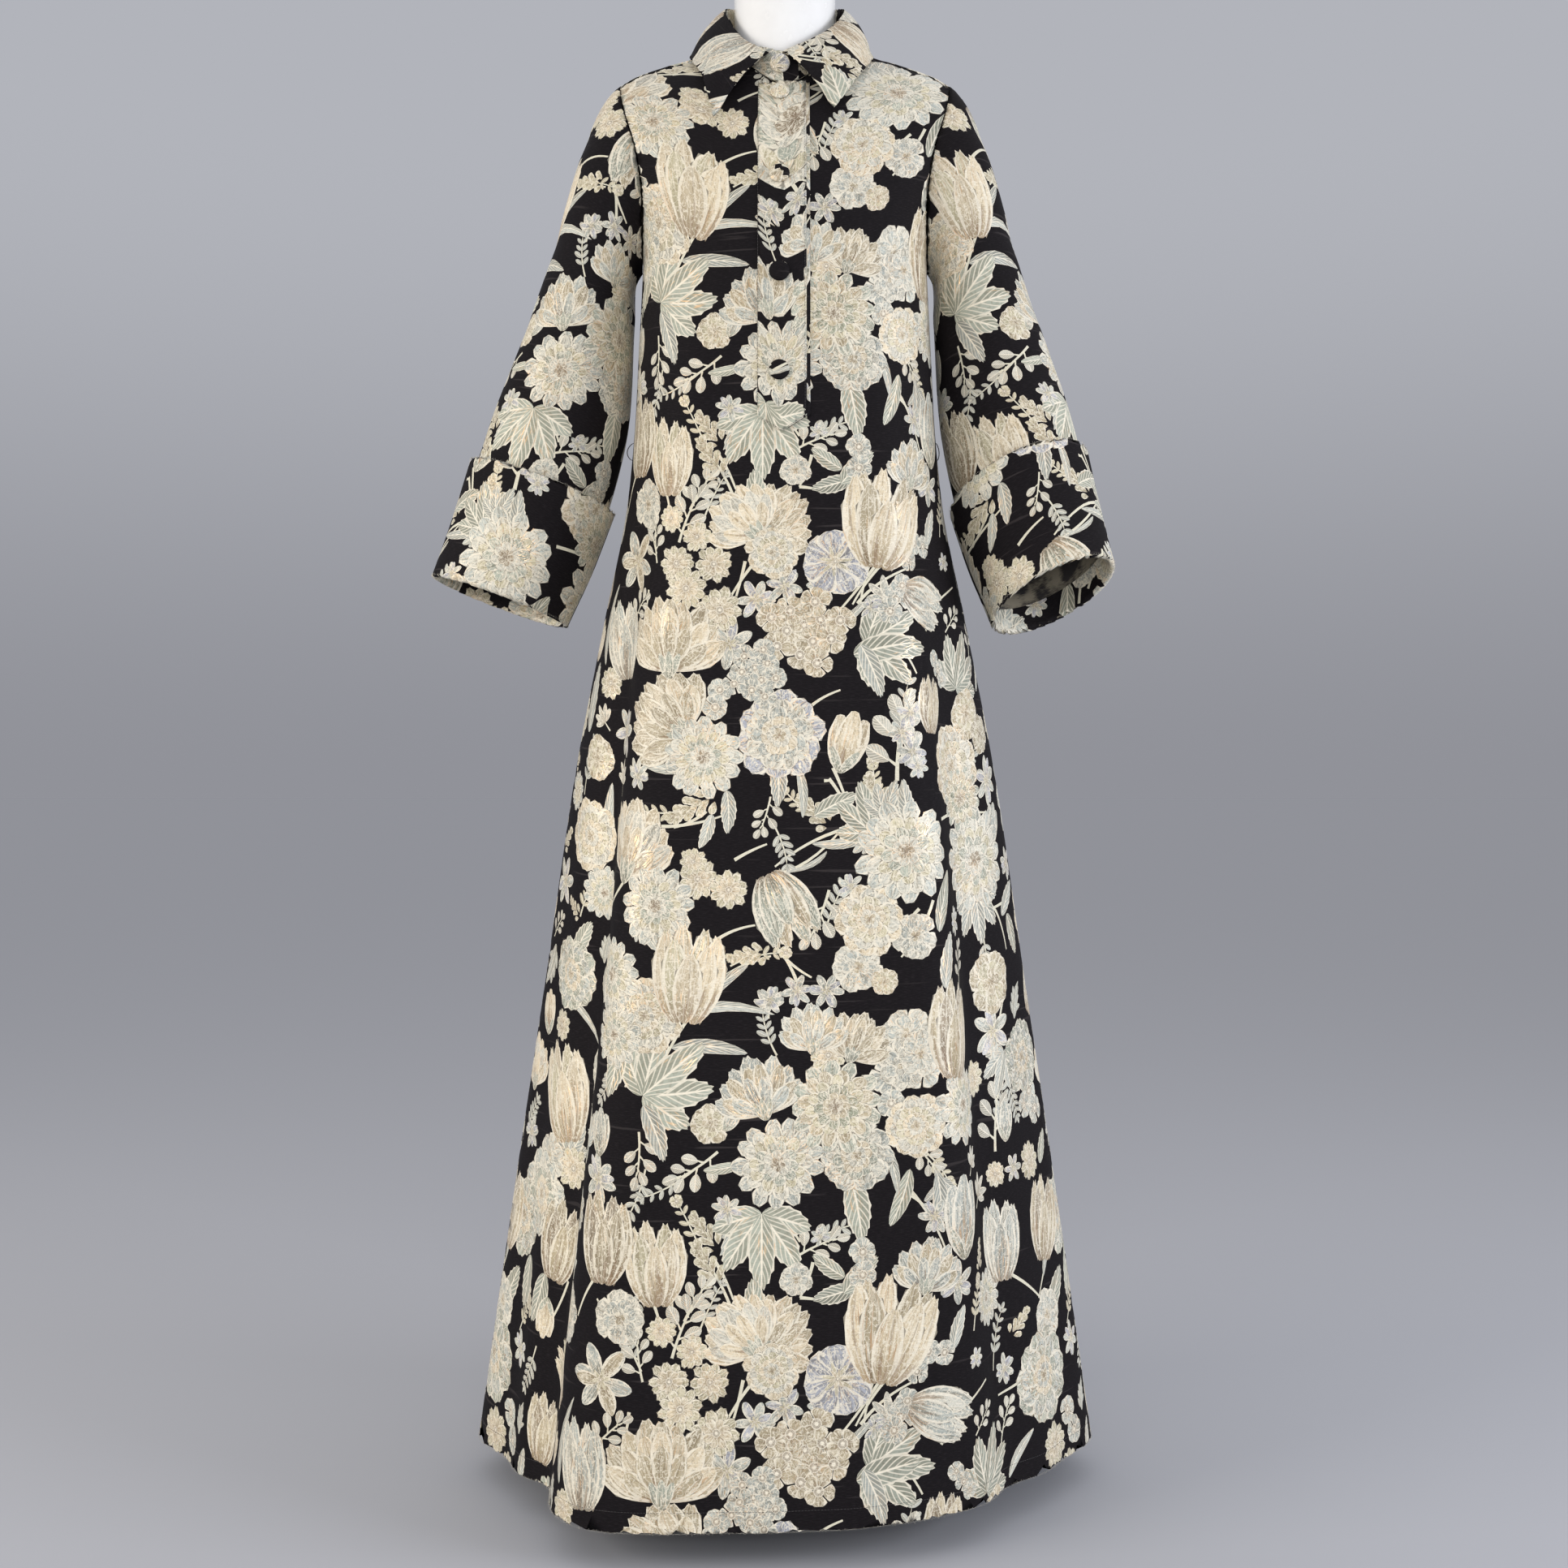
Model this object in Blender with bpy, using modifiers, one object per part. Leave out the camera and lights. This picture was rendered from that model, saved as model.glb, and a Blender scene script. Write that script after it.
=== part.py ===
"""A floor-length A-line dress in stiff brocade, worn by a limbless display form on a round stand.

The dress has a shirt collar on a stand, a buttoned half placket with a pointed end, set-in
three-quarter sleeves with deep turned-back cuffs and two thread belt loops. Every cloth piece
is a thin wall, worked out from the sizes below. Metres, +Z up, the front faces -Y, and the
origin is on the floor under the middle of the stand's base.
"""

import math

import bmesh
import bpy
import numpy as np
from mathutils import Matrix, Vector
from mathutils.bvhtree import BVHTree

# Cloth and seams
CLOTH = 0.0015  # thickness of the brocade
SEAM = 0.0003  # gap between two pieces that are sewn together
SEAM_LEAN = 0.0005  # more on each side where the walls lean together, as at the hem and the shoulders
HEM_HEIGHT = 0.040  # the hem above the floor
UNDERARM = 1.300  # bottom of the armhole, above the hem

# The dress below the armholes: one row for each level, heights above the hem.
# half_width is at the side seam; squareness is the exponent of the section, 2 is an ellipse.
BODY_COLUMNS = ("height", "half_width", "front_depth", "back_depth", "squareness")
BODY = (
    (0.000, 0.3475, 0.2640, 0.2400, 2.00),
    (0.256, 0.3095, 0.2380, 0.2160, 2.00),
    (0.517, 0.2695, 0.2085, 0.1900, 2.05),
    (0.761, 0.2320, 0.1810, 0.1665, 2.15),
    (0.915, 0.2010, 0.1630, 0.1500, 2.30),
    (1.030, 0.1770, 0.1500, 0.1385, 2.40),
    (1.110, 0.1680, 0.1410, 0.1300, 2.45),
    (1.210, 0.1625, 0.1320, 0.1210, 2.45),
    (1.300, 0.1580, 0.1240, 0.1130, 2.40),
)

# Folds of the skirt: where each runs (degrees round from the right side seam, -90 is the
# centre front), how wide it is (degrees), and how far it stands out at each level (mm).
FOLD_HEIGHTS = (0.00, 0.24, 0.47, 0.80, 1.05, 1.30)
FOLDS = (
    ("left_side_hollow", -166, 10, (-32, -24, -17, -6, -1, 0)),
    ("left_front_valley", -149.8, 8, (-31, -30, -29, -17, -3, 0)),
    ("left_front_ridge", -128.5, 12, (31, 26, 22, 14, 6, 0)),
    ("left_ridge_slope", -114, 10, (10, 7, 4, 1, 0, 0)),
    ("centre_dip", -84, 9, (-5, -4, -3, -1, 0, 0)),
    ("right_ridge_slope", -67, 10, (-7, -1, 3, 2, 0, 0)),
    ("right_front_ridge", -50, 11, (-13, 4, 17, 13, 6, 0)),
    ("right_front_valley", -31, 11, (-40, -33, -25, -14, -3, 0)),
    ("right_side_hollow", -14, 10, (-28, -20, -13, -5, -1, 0)),
    ("right_back_valley", 24, 11, (-30, -21, -13, -4, 0, 0)),
    ("right_back_ridge", 50, 12, (22, 15, 9, 4, 1, 0)),
    ("right_back_dip", 74, 10, (-17, -11, -6, -1, 0, 0)),
    ("centre_back_ridge", 95, 10, (15, 9, 4, 1, 0, 0)),
    ("left_back_dip", 114, 9, (-15, -10, -5, -1, 0, 0)),
    ("left_back_ridge", 134, 12, (24, 17, 10, 4, 1, 0)),
    ("left_back_valley", 158, 11, (-31, -22, -14, -4, 0, 0)),
)

# Neck and shoulders, heights above the hem. The panels' columns all run to a line over the
# shoulder, and the neckline cuts short those near the centre.
SHOULDER_SEAM_Y = -0.014  # the shoulder seam lies a little forward of the ridge
SHOULDER_LINE_X = (0.073, 0.100, 0.125, 0.150, 0.168, 0.183)
SHOULDER_LINE_Z = (1.5460, 1.5345, 1.5275, 1.5195, 1.5125, 1.5035)
SHOULDER_LINE_SLOPE = -0.44  # at its end on the neck
CROWN = {"front": 1.565, "back": 1.585}  # height of that line over the centre of each panel
NECK_HALF_WIDTH = SHOULDER_LINE_X[0]
NECK_SHARE = 0.36  # share of a half panel's columns that end on the neckline
TIP_SHARE = 0.80  # the column that ends on the tip of the shoulder
NECK_CUT = {"front": 0.653, "back": 0.720}  # how far up the centre column the neckline is
NECK_ROUNDNESS = {"front": 1.0, "back": 0.36}  # less makes the neckline squarer

# Armhole: the last column of the panel at each share of the way up from the underarm
ARMHOLE_RISE = (0.00, 0.06, 0.15, 0.30, 0.50, 0.75, 1.00)
ARMHOLE_FRONT = (1.00, 0.930, 0.860, 0.795, 0.775, 0.790, TIP_SHARE)
ARMHOLE_BACK = (1.00, 0.945, 0.880, 0.820, 0.800, 0.795, TIP_SHARE)

# Sleeves: the rings below the cap. Each row gives the middle of the ring (out from the
# centre front, back, above the hem), its width and depth, and how far its plane is tilted
# up at the outer side and up at the front (degrees).
SLEEVE_COLUMNS = ("out", "back", "height", "width", "depth", "tilt_out", "tilt_front")
LEFT_SLEEVE = (
    (0.2230, 0.004, 1.2620, 0.108, 0.126, 17.0, 0.0),
    (0.2540, 0.003, 1.1400, 0.133, 0.130, 18.0, 2.0),
    (0.2900, -0.004, 1.0100, 0.152, 0.122, 19.5, 4.0),
    (0.3170, -0.010, 0.9330, 0.156, 0.116, 20.0, 5.0),
)
RIGHT_SLEEVE = (
    (0.2210, 0.004, 1.2620, 0.107, 0.126, 17.0, 0.0),
    (0.2490, -0.004, 1.1400, 0.129, 0.130, 18.0, 7.0),
    (0.2755, -0.028, 1.0150, 0.138, 0.126, 20.5, 18.0),
    (0.2935, -0.055, 0.9350, 0.137, 0.124, 22.0, 26.0),
)
CAP_TOP = (0.120, 0.000, -0.075)  # which way the sleeve leaves the armhole at its top
CAP_UNDER = (0.045, 0.000, -0.060)  # and under the arm
CAP_FRONT = (0.020, -0.045, 0.000)  # more of this towards the front, less towards the back

# Turned-back cuffs
CUFF_HEIGHT = 0.136
CUFF_FLARE = 0.006  # how far the top of the cuff stands off the sleeve
CUFF_FACING = 0.028  # the part of the cuff that goes up inside the sleeve

# Collar: the fold line and the outer edge, at shares of the way round from the centre front
# to the centre back. The two sides differ a little at the front.
COLLAR_TURN = (0.00, 0.22, 0.50, 0.75, 1.00)
FOLD_OUT = {
    "left": (0.0165, 0.0455, 0.0665, 0.0460, 0.0000),
    "right": (-0.0030, 0.0430, 0.0665, 0.0460, 0.0000),
}
FOLD_BACK = (-0.0720, -0.0540, -0.0060, 0.0460, 0.0610)
FOLD_UP = {
    "left": (1.5200, 1.5420, 1.5935, 1.6130, 1.6180),
    "right": (1.5205, 1.5490, 1.5935, 1.6130, 1.6180),
}
EDGE_OUT = {
    "left": (0.0760, 0.0880, 0.1050, 0.0680, 0.0000),
    "right": (0.0525, 0.0780, 0.0980, 0.0660, 0.0000),
}
EDGE_BACK = (-0.1020, -0.0780, -0.0060, 0.0700, 0.0850)
EDGE_UP = {
    "left": (1.4390, 1.4900, 1.5420, 1.5600, 1.5700),
    "right": (1.4490, 1.4900, 1.5420, 1.5600, 1.5700),
}
FALL_BULGE = 0.0045  # how far the fall arches between its fold and its edge
STAND_OUT = (0.000, 0.0424, 0.0651, 0.0450, 0.000)
STAND_BACK = (-0.0704, -0.0523, -0.0060, 0.0450, 0.0596)
STAND_UP = (1.5192, 1.5400, 1.5930, 1.6125, 1.6175)
STAND_UNDER_END = -0.022  # x of the stand's hidden end
STAND_OVER_END = 0.015  # x of the stand's buttoned end

# Placket, measured across the front from the centre line
PLACKET_LEFT = -0.0285
PLACKET_RIGHT = 0.0225
PLACKET_UNDER_LEFT = 0.0040
PLACKET_UNDER_RIGHT = 0.0265
PLACKET_SHOULDER = 1.112  # height where the straight edges end
PLACKET_TIP = 1.095
PLACKET_TOP = 1.4850
BUTTON_X = -0.0058
BUTTON_HEIGHTS = (1.4705, 1.372, 1.2655, 1.160)  # the four on the placket
BUTTON_RADIUS = 0.0108
BUTTON_DOME = 0.0048

# Thread belt loops at the side seams
LOOP_HEIGHT = 1.101
LOOP_LENGTH = 0.019
LOOP_THREAD = 0.0006  # radius
LOOP_REACH_LEFT = 0.0065
LOOP_REACH_RIGHT = 0.0028

# Display form: a torso whose shoulders fill the dress's, cut flat below the hips
FORM_COLUMNS = ("height", "half_width", "front_depth", "back_depth", "squareness")
FORM = (
    (0.860, 0.1450, 0.080, 0.088, 2.3),
    (0.900, 0.1580, 0.090, 0.102, 2.3),
    (0.960, 0.1600, 0.093, 0.106, 2.3),
    (1.040, 0.1400, 0.084, 0.086, 2.3),
    (1.110, 0.1180, 0.078, 0.070, 2.3),
    (1.180, 0.1290, 0.094, 0.078, 2.3),
    (1.250, 0.1420, 0.110, 0.090, 2.3),
    (1.310, 0.1440, 0.104, 0.094, 2.3),
    (1.380, 0.1480, 0.082, 0.086, 2.2),
    (1.440, 0.1550, 0.066, 0.070, 2.1),
    (1.480, 0.1630, 0.052, 0.056, 2.0),
    (1.500, 0.1720, 0.044, 0.048, 1.8),
    (1.508, 0.1700, 0.039, 0.044, 1.7),
    (1.514, 0.1640, 0.037, 0.042, 1.6),
    (1.5195, 0.1550, 0.036, 0.041, 1.6),
    (1.525, 0.1440, 0.035, 0.040, 1.55),
    (1.530, 0.1310, 0.034, 0.040, 1.5),
    (1.5345, 0.1140, 0.034, 0.040, 1.5),
    (1.539, 0.0960, 0.036, 0.042, 1.5),
    (1.5435, 0.0800, 0.038, 0.042, 1.6),
    (1.550, 0.0672, 0.040, 0.042, 2.0),
    (1.558, 0.0605, 0.040, 0.044, 2.0),
)
FORM_NECK = (0.0565, 0.0605, 0.0525)  # half width, front depth and back depth
FORM_NECK_FROM = 1.440
FORM_NECK_HEIGHTS = (1.575, 1.620, 1.686, 1.690)
POLE_RADIUS = 0.0125
BASE_RADIUS = 0.160
BASE_THICKNESS = 0.008

# How finely the pieces are divided
FRONT_COLUMNS, BACK_COLUMNS = 34, 26
FRONT_ROWS, BACK_ROWS = 16, 14  # below the underarm
YOKE_ROWS = 11  # above it; the sleeve's columns start from these rows
SLEEVE_ROWS = 12
FORM_AROUND = 28

COLOURS = {  # sRGB
    "brocade": ((0.72, 0.69, 0.60), 0.55, 0.0),
    "thread": ((0.03, 0.03, 0.035), 0.8, 0.0),
    "gloss_white": ((0.93, 0.92, 0.90), 0.18, 0.0),
    "brushed_steel": ((0.62, 0.62, 0.63), 0.35, 1.0),
}


def clear_scene():
    for obj in list(bpy.data.objects):
        bpy.data.objects.remove(obj)


def material(name):
    found = bpy.data.materials.get(name)
    if found:
        return found
    made = bpy.data.materials.new(name)
    made.use_nodes = True
    shader = made.node_tree.nodes["Principled BSDF"]
    colour, roughness, metallic = COLOURS[name]
    shader.inputs["Base Color"].default_value = (*colour, 1.0)
    shader.inputs["Roughness"].default_value = roughness
    shader.inputs["Metallic"].default_value = metallic
    return made


def link(obj, finish, collection):
    obj.data.materials.append(material(finish))
    collection.objects.link(obj)
    return obj


def column(table, names, name):
    return np.array([row[names.index(name)] for row in table], float)


def curve(at, knots, values):
    """A smooth line through a short table: cubic pieces whose slopes come from the neighbours."""
    knots = np.asarray(knots, float)
    values = np.asarray(values, float)
    slopes = np.gradient(values, knots)
    at = np.clip(np.asarray(at, float), knots[0], knots[-1])
    i = np.clip(np.searchsorted(knots, at, side="right") - 1, 0, len(knots) - 2)
    step = knots[i + 1] - knots[i]
    t = (at - knots[i]) / step
    return hermite(t, values[i], values[i + 1], slopes[i] * step, slopes[i + 1] * step)


def hermite(t, start, end, start_slope, end_slope):
    return (
        (2 * t**3 - 3 * t**2 + 1) * start
        + (t**3 - 2 * t**2 + t) * start_slope
        + (3 * t**2 - 2 * t**3) * end
        + (t**3 - t**2) * end_slope
    )


def body_section(angle, height):
    """Points of the dress below the armholes: angle in degrees from the right side seam."""
    turn = np.radians(angle)
    across, along = np.cos(turn), np.sin(turn)
    levels = column(BODY, BODY_COLUMNS, "height")
    wide = curve(height, levels, column(BODY, BODY_COLUMNS, "half_width"))
    front = curve(height, levels, column(BODY, BODY_COLUMNS, "front_depth"))
    back = curve(height, levels, column(BODY, BODY_COLUMNS, "back_depth"))
    power = curve(height, levels, column(BODY, BODY_COLUMNS, "squareness"))
    deep = np.where(along < 0, front, back)
    radius = (np.abs(across / wide) ** power + np.abs(along / deep) ** power) ** (-1 / power)
    for _, middle, spread, depths in FOLDS:
        away = (angle - middle + 180) % 360 - 180
        radius = radius + 0.001 * curve(height, FOLD_HEIGHTS, depths) * np.exp(-((away / spread) ** 2))
    return np.stack([radius * across, radius * along, height + 0 * angle], axis=-1)


def top_line(share, side):
    """The line over the shoulder that the columns of a panel run to."""
    size = np.abs(share)
    x = curve(size, (0.0, NECK_SHARE, TIP_SHARE, 1.0), (0.0, NECK_HALF_WIDTH, SHOULDER_LINE_X[-1], 0.228))
    way = np.clip(x / NECK_HALF_WIDTH, 0, 1)
    crown = hermite(way, CROWN[side], SHOULDER_LINE_Z[0], 0.0, SHOULDER_LINE_SLOPE * NECK_HALF_WIDTH)
    past_tip = np.clip(x - SHOULDER_LINE_X[-1], 0, None)
    seam = curve(x, SHOULDER_LINE_X, SHOULDER_LINE_Z) - 0.7 * past_tip
    z = np.where(x < NECK_HALF_WIDTH, crown, seam)
    return np.stack([x * np.sign(share), np.full_like(x, SHOULDER_SEAM_Y), z], axis=-1)


def panel_angle(share, side):
    return -90 + 90 * share if side == "front" else 90 - 90 * share


def yoke(share, rise, side):
    """Points above the underarm: rise is 0 at the underarm level and 1 on the line over the shoulder."""
    angle = panel_angle(share, side)
    level = np.full_like(angle, UNDERARM)
    low = body_section(angle, level)
    slope = (low - body_section(angle, level - 0.02)) / 0.02
    high = top_line(share, side)
    length = np.linalg.norm(high - low, axis=-1, keepdims=True)
    over = np.clip(np.abs(share) / NECK_SHARE, 0, 1)[..., None]
    over = over * over * (3 - 2 * over)
    if side == "front":
        at_centre, at_shoulder = np.array([0.0, 0.70, 0.66]), np.array([0.0, 0.80, 0.62])
    else:
        at_centre, at_shoulder = np.array([0.0, -1.10, -0.10]), np.array([0.0, -0.80, -0.60])
    end_slope = (at_centre + (at_shoulder - at_centre) * over) * length
    return hermite(np.asarray(rise)[..., None], low, high, slope * length, end_slope)


def neck_cut(share, side):
    """How far up a column the neckline, or past it the shoulder seam, cuts it."""
    seam = 1 - (SEAM / 2 + SEAM_LEAN * 0.7) / 0.24
    way = np.clip(np.abs(share) / NECK_SHARE, 0, 1) * math.pi / 2
    return seam - (seam - NECK_CUT[side]) * np.clip(np.cos(way), 0, 1) ** NECK_ROUNDNESS[side]


def armhole_share(rise, side):
    return curve(rise, ARMHOLE_RISE, ARMHOLE_FRONT if side == "front" else ARMHOLE_BACK)


def panel_grid(side, columns, rows, yoke_rows):
    """The front or the back as rows of points from the hem up, each from left to right."""
    shares = np.linspace(-1, 1, columns + 1)
    grid = []
    for height in UNDERARM * np.linspace(0, 1, rows + 1):
        widths = column(BODY, BODY_COLUMNS, "half_width")
        wide = float(curve(height, column(BODY, BODY_COLUMNS, "height"), widths))
        lean = SEAM_LEAN * (1 - 0.8 * height / UNDERARM)
        trim = 1 - (SEAM / 2 + lean) / (math.pi / 2 * wide)
        angle = panel_angle(shares * trim, side)
        grid.append(body_section(angle, np.full_like(angle, height)))
    cuts = neck_cut(shares * TIP_SHARE, side)
    for part in np.linspace(0, 1, yoke_rows + 1)[1:]:
        grid.append(yoke(shares * float(armhole_share(part, side)), part * cuts, side))
    return lifted(np.array(grid))


def lifted(points):
    return points + np.array([0.0, 0.0, HEM_HEIGHT])


def grid_faces(rows, columns, around=False):
    """Faces of a grid of points, turned outwards for rows that go up and points that go left to right."""
    wrap = columns if around else columns - 1
    return [
        (
            row * columns + i,
            row * columns + (i + 1) % columns,
            (row + 1) * columns + (i + 1) % columns,
            (row + 1) * columns + i,
        )
        for row in range(rows - 1)
        for i in range(wrap)
    ]


def wall(name, grid, collection, around=False, flip=False, thickness=CLOTH, finish="brocade"):
    """A cloth piece: the grid is its outer face, and Solidify gives it its thickness inwards."""
    rows, columns = grid.shape[:2]
    mesh = bpy.data.meshes.new(name)
    faces = grid_faces(rows, columns, around)
    if flip:
        faces = [face[::-1] for face in faces]
    mesh.from_pydata([tuple(p) for p in grid.reshape(-1, 3)], [], faces)
    mesh.shade_smooth()
    mesh.set_sharp_from_angle(angle=math.radians(50))
    obj = bpy.data.objects.new(name, mesh)
    shell = obj.modifiers.new("cloth", "SOLIDIFY")
    shell.thickness = thickness
    shell.offset = -1
    shell.use_even_offset = True
    return link(obj, finish, collection)


def closed_sweep(name, loops, collection, finish="brocade"):
    """A closed ring of closed outlines, such as a cuff: loops[i] is the outline at step i."""
    count, size = loops.shape[:2]
    mesh = bpy.data.meshes.new(name)
    faces = [
        (
            i * size + j,
            i * size + (j + 1) % size,
            (i + 1) % count * size + (j + 1) % size,
            (i + 1) % count * size + j,
        )
        for i in range(count)
        for j in range(size)
    ]
    mesh.from_pydata([tuple(p) for p in loops.reshape(-1, 3)], [], faces)
    work = bmesh.new()
    work.from_mesh(mesh)
    bmesh.ops.recalc_face_normals(work, faces=work.faces)
    work.to_mesh(mesh)
    work.free()
    mesh.shade_smooth()
    mesh.set_sharp_from_angle(angle=math.radians(50))
    return link(bpy.data.objects.new(name, mesh), finish, collection)


def armhole_loop():
    """The right armhole seam, from the underarm up the front to the shoulder and down the back."""
    rise = np.linspace(0, 1, YOKE_ROWS + 1)
    front = yoke(armhole_share(rise, "front"), rise, "front")
    back = yoke(armhole_share(rise, "back"), rise, "back")
    return np.concatenate([front, back[::-1][1:-1]])


def sleeve_ring(row, around):
    """One elliptical ring of the right sleeve; around is 0 at the inner side, 90 degrees at the front."""
    size = dict(zip(SLEEVE_COLUMNS, row))
    out, front = math.radians(size["tilt_out"]), math.radians(size["tilt_front"])
    outward = np.array([math.cos(out), 0.0, math.sin(out)])
    forward = np.array([0.0, -math.cos(front), math.sin(front)])
    middle = np.array([size["out"], size["back"], size["height"]])
    return (
        middle
        - outward * size["width"] / 2 * np.cos(around)[:, None]
        + forward * size["depth"] / 2 * np.sin(around)[:, None]
    )


def sleeve_grid(table, rows):
    """Rows of points from the armhole down to the bottom of the right sleeve."""
    seam = armhole_loop() + np.array([3 * SEAM, 0.0, 0.0])
    count = len(seam)
    around = np.linspace(0, 2 * math.pi, count, endpoint=False)
    rings = [sleeve_ring(row, around) for row in table]
    down = rings[1] - rings[0]
    down /= np.linalg.norm(down, axis=1, keepdims=True)
    lift = (1 - np.cos(around))[:, None] / 2
    front = np.sin(around)[:, None]
    leave = np.array(CAP_UNDER) * (1 - lift) + np.array(CAP_TOP) * lift + np.array(CAP_FRONT) * front
    reach = np.linalg.norm(rings[0] - seam, axis=1, keepdims=True)
    cap_rows = rows // 2
    grid = [hermite(t, seam, rings[0], leave, down * reach * 1.1) for t in np.linspace(0, 1, cap_rows + 1)]
    levels = np.arange(len(rings))
    stack = np.array(rings)
    for level in np.linspace(0, len(rings) - 1, rows - cap_rows + 1)[1:]:
        grid.append(
            np.stack(
                [
                    np.stack([curve(level, levels, stack[:, i, axis]) for axis in range(3)])
                    for i in range(count)
                ]
            )
        )
    return np.array(grid)


def along_sleeve(grid, distance):
    """The ring of points this far up from the bottom of the sleeve, measured on its surface."""
    found = []
    for i in range(grid.shape[1]):
        line = grid[::-1, i]
        run = np.concatenate([[0], np.cumsum(np.linalg.norm(np.diff(line, axis=0), axis=1))])
        found.append([np.interp(distance, run, line[:, axis]) for axis in range(3)])
    return np.array(found)


def ring_normals(ring, below):
    """Directions out of a ring of points, square to it and to the way down the sleeve."""
    along = np.roll(ring, -1, axis=0) - np.roll(ring, 1, axis=0)
    down = below - ring
    out = np.cross(along, down)
    out /= np.linalg.norm(out, axis=1, keepdims=True)
    middle = ring.mean(axis=0)
    return out * np.sign(((ring - middle) * out).sum(axis=1, keepdims=True))


def cuff_loops(grid):
    """Outlines of the turned-back cuff round the right sleeve: outside, under the edge, and up inside."""
    levels = (0.0, 0.012, CUFF_FACING, CUFF_HEIGHT * 0.3, CUFF_HEIGHT * 0.65, CUFF_HEIGHT)
    rings = [along_sleeve(grid, level) for level in levels]
    below = 2 * rings[0] - along_sleeve(grid, 0.02)
    outs = [ring_normals(ring, below) for ring in rings]
    drop = below - rings[0]
    drop /= np.linalg.norm(drop, axis=1, keepdims=True)
    flares = [CUFF_FLARE * (level / CUFF_HEIGHT) ** 1.3 for level in levels]

    def at(level, out, down=0.0):
        return rings[level] + outs[level] * out + drop * down

    clear = 2 * SEAM
    inside = -(CLOTH + clear)
    outer = [at(k, clear + CLOTH + flares[k]) for k in (5, 4, 3, 1, 0)]
    under = [at(0, clear + CLOTH * 0.2, clear + CLOTH), at(0, inside - CLOTH * 0.2, clear + CLOTH)]
    facing = [at(k, inside - CLOTH) for k in (0, 1, 2)] + [at(k, inside) for k in (2, 1, 0)]
    fold = [at(0, inside + clear / 2, clear), at(0, clear / 2, clear)]
    lining_side = [at(k, clear + flares[k]) for k in (0, 1, 3, 4, 5)]
    return np.stack(outer + under + facing + fold + lining_side, axis=1)


def mirrored(points):
    return points * np.array([-1.0, 1.0, 1.0])


def sleeves(collection):
    for side, table in (("left", LEFT_SLEEVE), ("right", RIGHT_SLEEVE)):
        grid = sleeve_grid(table, SLEEVE_ROWS)
        loops = cuff_loops(grid)
        if side == "left":
            grid, loops = mirrored(grid), mirrored(loops)
        wall(f"sleeve_{side}", lifted(grid), collection, around=True, flip=side == "right")
        closed_sweep(f"cuff_{side}", lifted(loops), collection)


def surface_tree(grid):
    rows, columns = grid.shape[:2]
    points = [Vector(p) for p in grid.reshape(-1, 3)]
    return BVHTree.FromPolygons(points, grid_faces(rows, columns))


def on_front(tree, x, height):
    """Where the front panel is at x and this height above the hem, and its normal there."""
    place, normal, _, _ = tree.ray_cast(Vector((x, -1.0, height + HEM_HEIGHT)), Vector((0.0, 1.0, 0.0)))
    if place is None:
        raise ValueError(f"the front panel has no point at x {x:.4f}, height {height:.4f}")
    return np.array(place), np.array(normal) * (-1 if normal.y > 0 else 1)


def placket_bottom(x):
    """Height of the placket's lower edge, which comes to a point."""
    middle = (PLACKET_LEFT + PLACKET_RIGHT) / 2
    half = (PLACKET_RIGHT - PLACKET_LEFT) / 2
    return PLACKET_TIP + (PLACKET_SHOULDER - PLACKET_TIP) * min(1.0, abs(x - middle) / half)


def placket_strip(tree, edges, offsets, heights):
    """Rows of points on the front panel from the lower edge up, each moved out by its offset."""
    grid = []
    for share in heights:
        line = []
        for x, offset in zip(edges, offsets):
            low = placket_bottom(x)
            place, normal = on_front(tree, x, low + (PLACKET_TOP - low) * share)
            line.append(place + normal * (offset + CLOTH))
        grid.append(line)
    return np.array(grid)


def plackets(tree, collection):
    """The buttonhole band, and the button band of which a strip shows beside it."""
    close, above = SEAM + 0.0002, CLOTH + 2 * SEAM + 0.0004
    shares = np.linspace(0, 1, 21)
    over_x = np.linspace(PLACKET_LEFT, PLACKET_RIGHT, 10)
    rise = np.clip((over_x - PLACKET_LEFT - 0.012) / 0.012, 0, 1)
    over = placket_strip(tree, over_x, close + (above - close) * rise + 0.0003 * rise, shares)
    wall("placket_over", over, collection)
    under_x = np.linspace(PLACKET_UNDER_LEFT, PLACKET_UNDER_RIGHT, 5)
    under = placket_strip(tree, under_x, np.full(5, close), shares)
    wall("placket_under", under, collection)


def neckline(turn):
    """The edge of the neck: turn runs from 0 at the centre front to 1 at the centre back, and is
    negative on the left side."""
    size = np.abs(turn)
    share = NECK_SHARE * np.sin(math.pi * size) * np.sign(turn)
    front = yoke(share, neck_cut(share, "front"), "front")
    back = yoke(share, neck_cut(share, "back"), "back")
    return np.where((size < 0.5)[..., None], front, back)


def stand_point(turn, rise):
    """A point of the collar stand, from the neckline up to its top edge."""
    low = neckline(turn) + np.array([0.0, 0.0, 2 * SEAM])
    size = np.abs(turn)
    high = np.stack(
        [
            curve(size, COLLAR_TURN, STAND_OUT) * np.sign(turn),
            curve(size, COLLAR_TURN, STAND_BACK),
            curve(size, COLLAR_TURN, STAND_UP),
        ],
        axis=-1,
    )
    return low + (high - low) * rise


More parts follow.
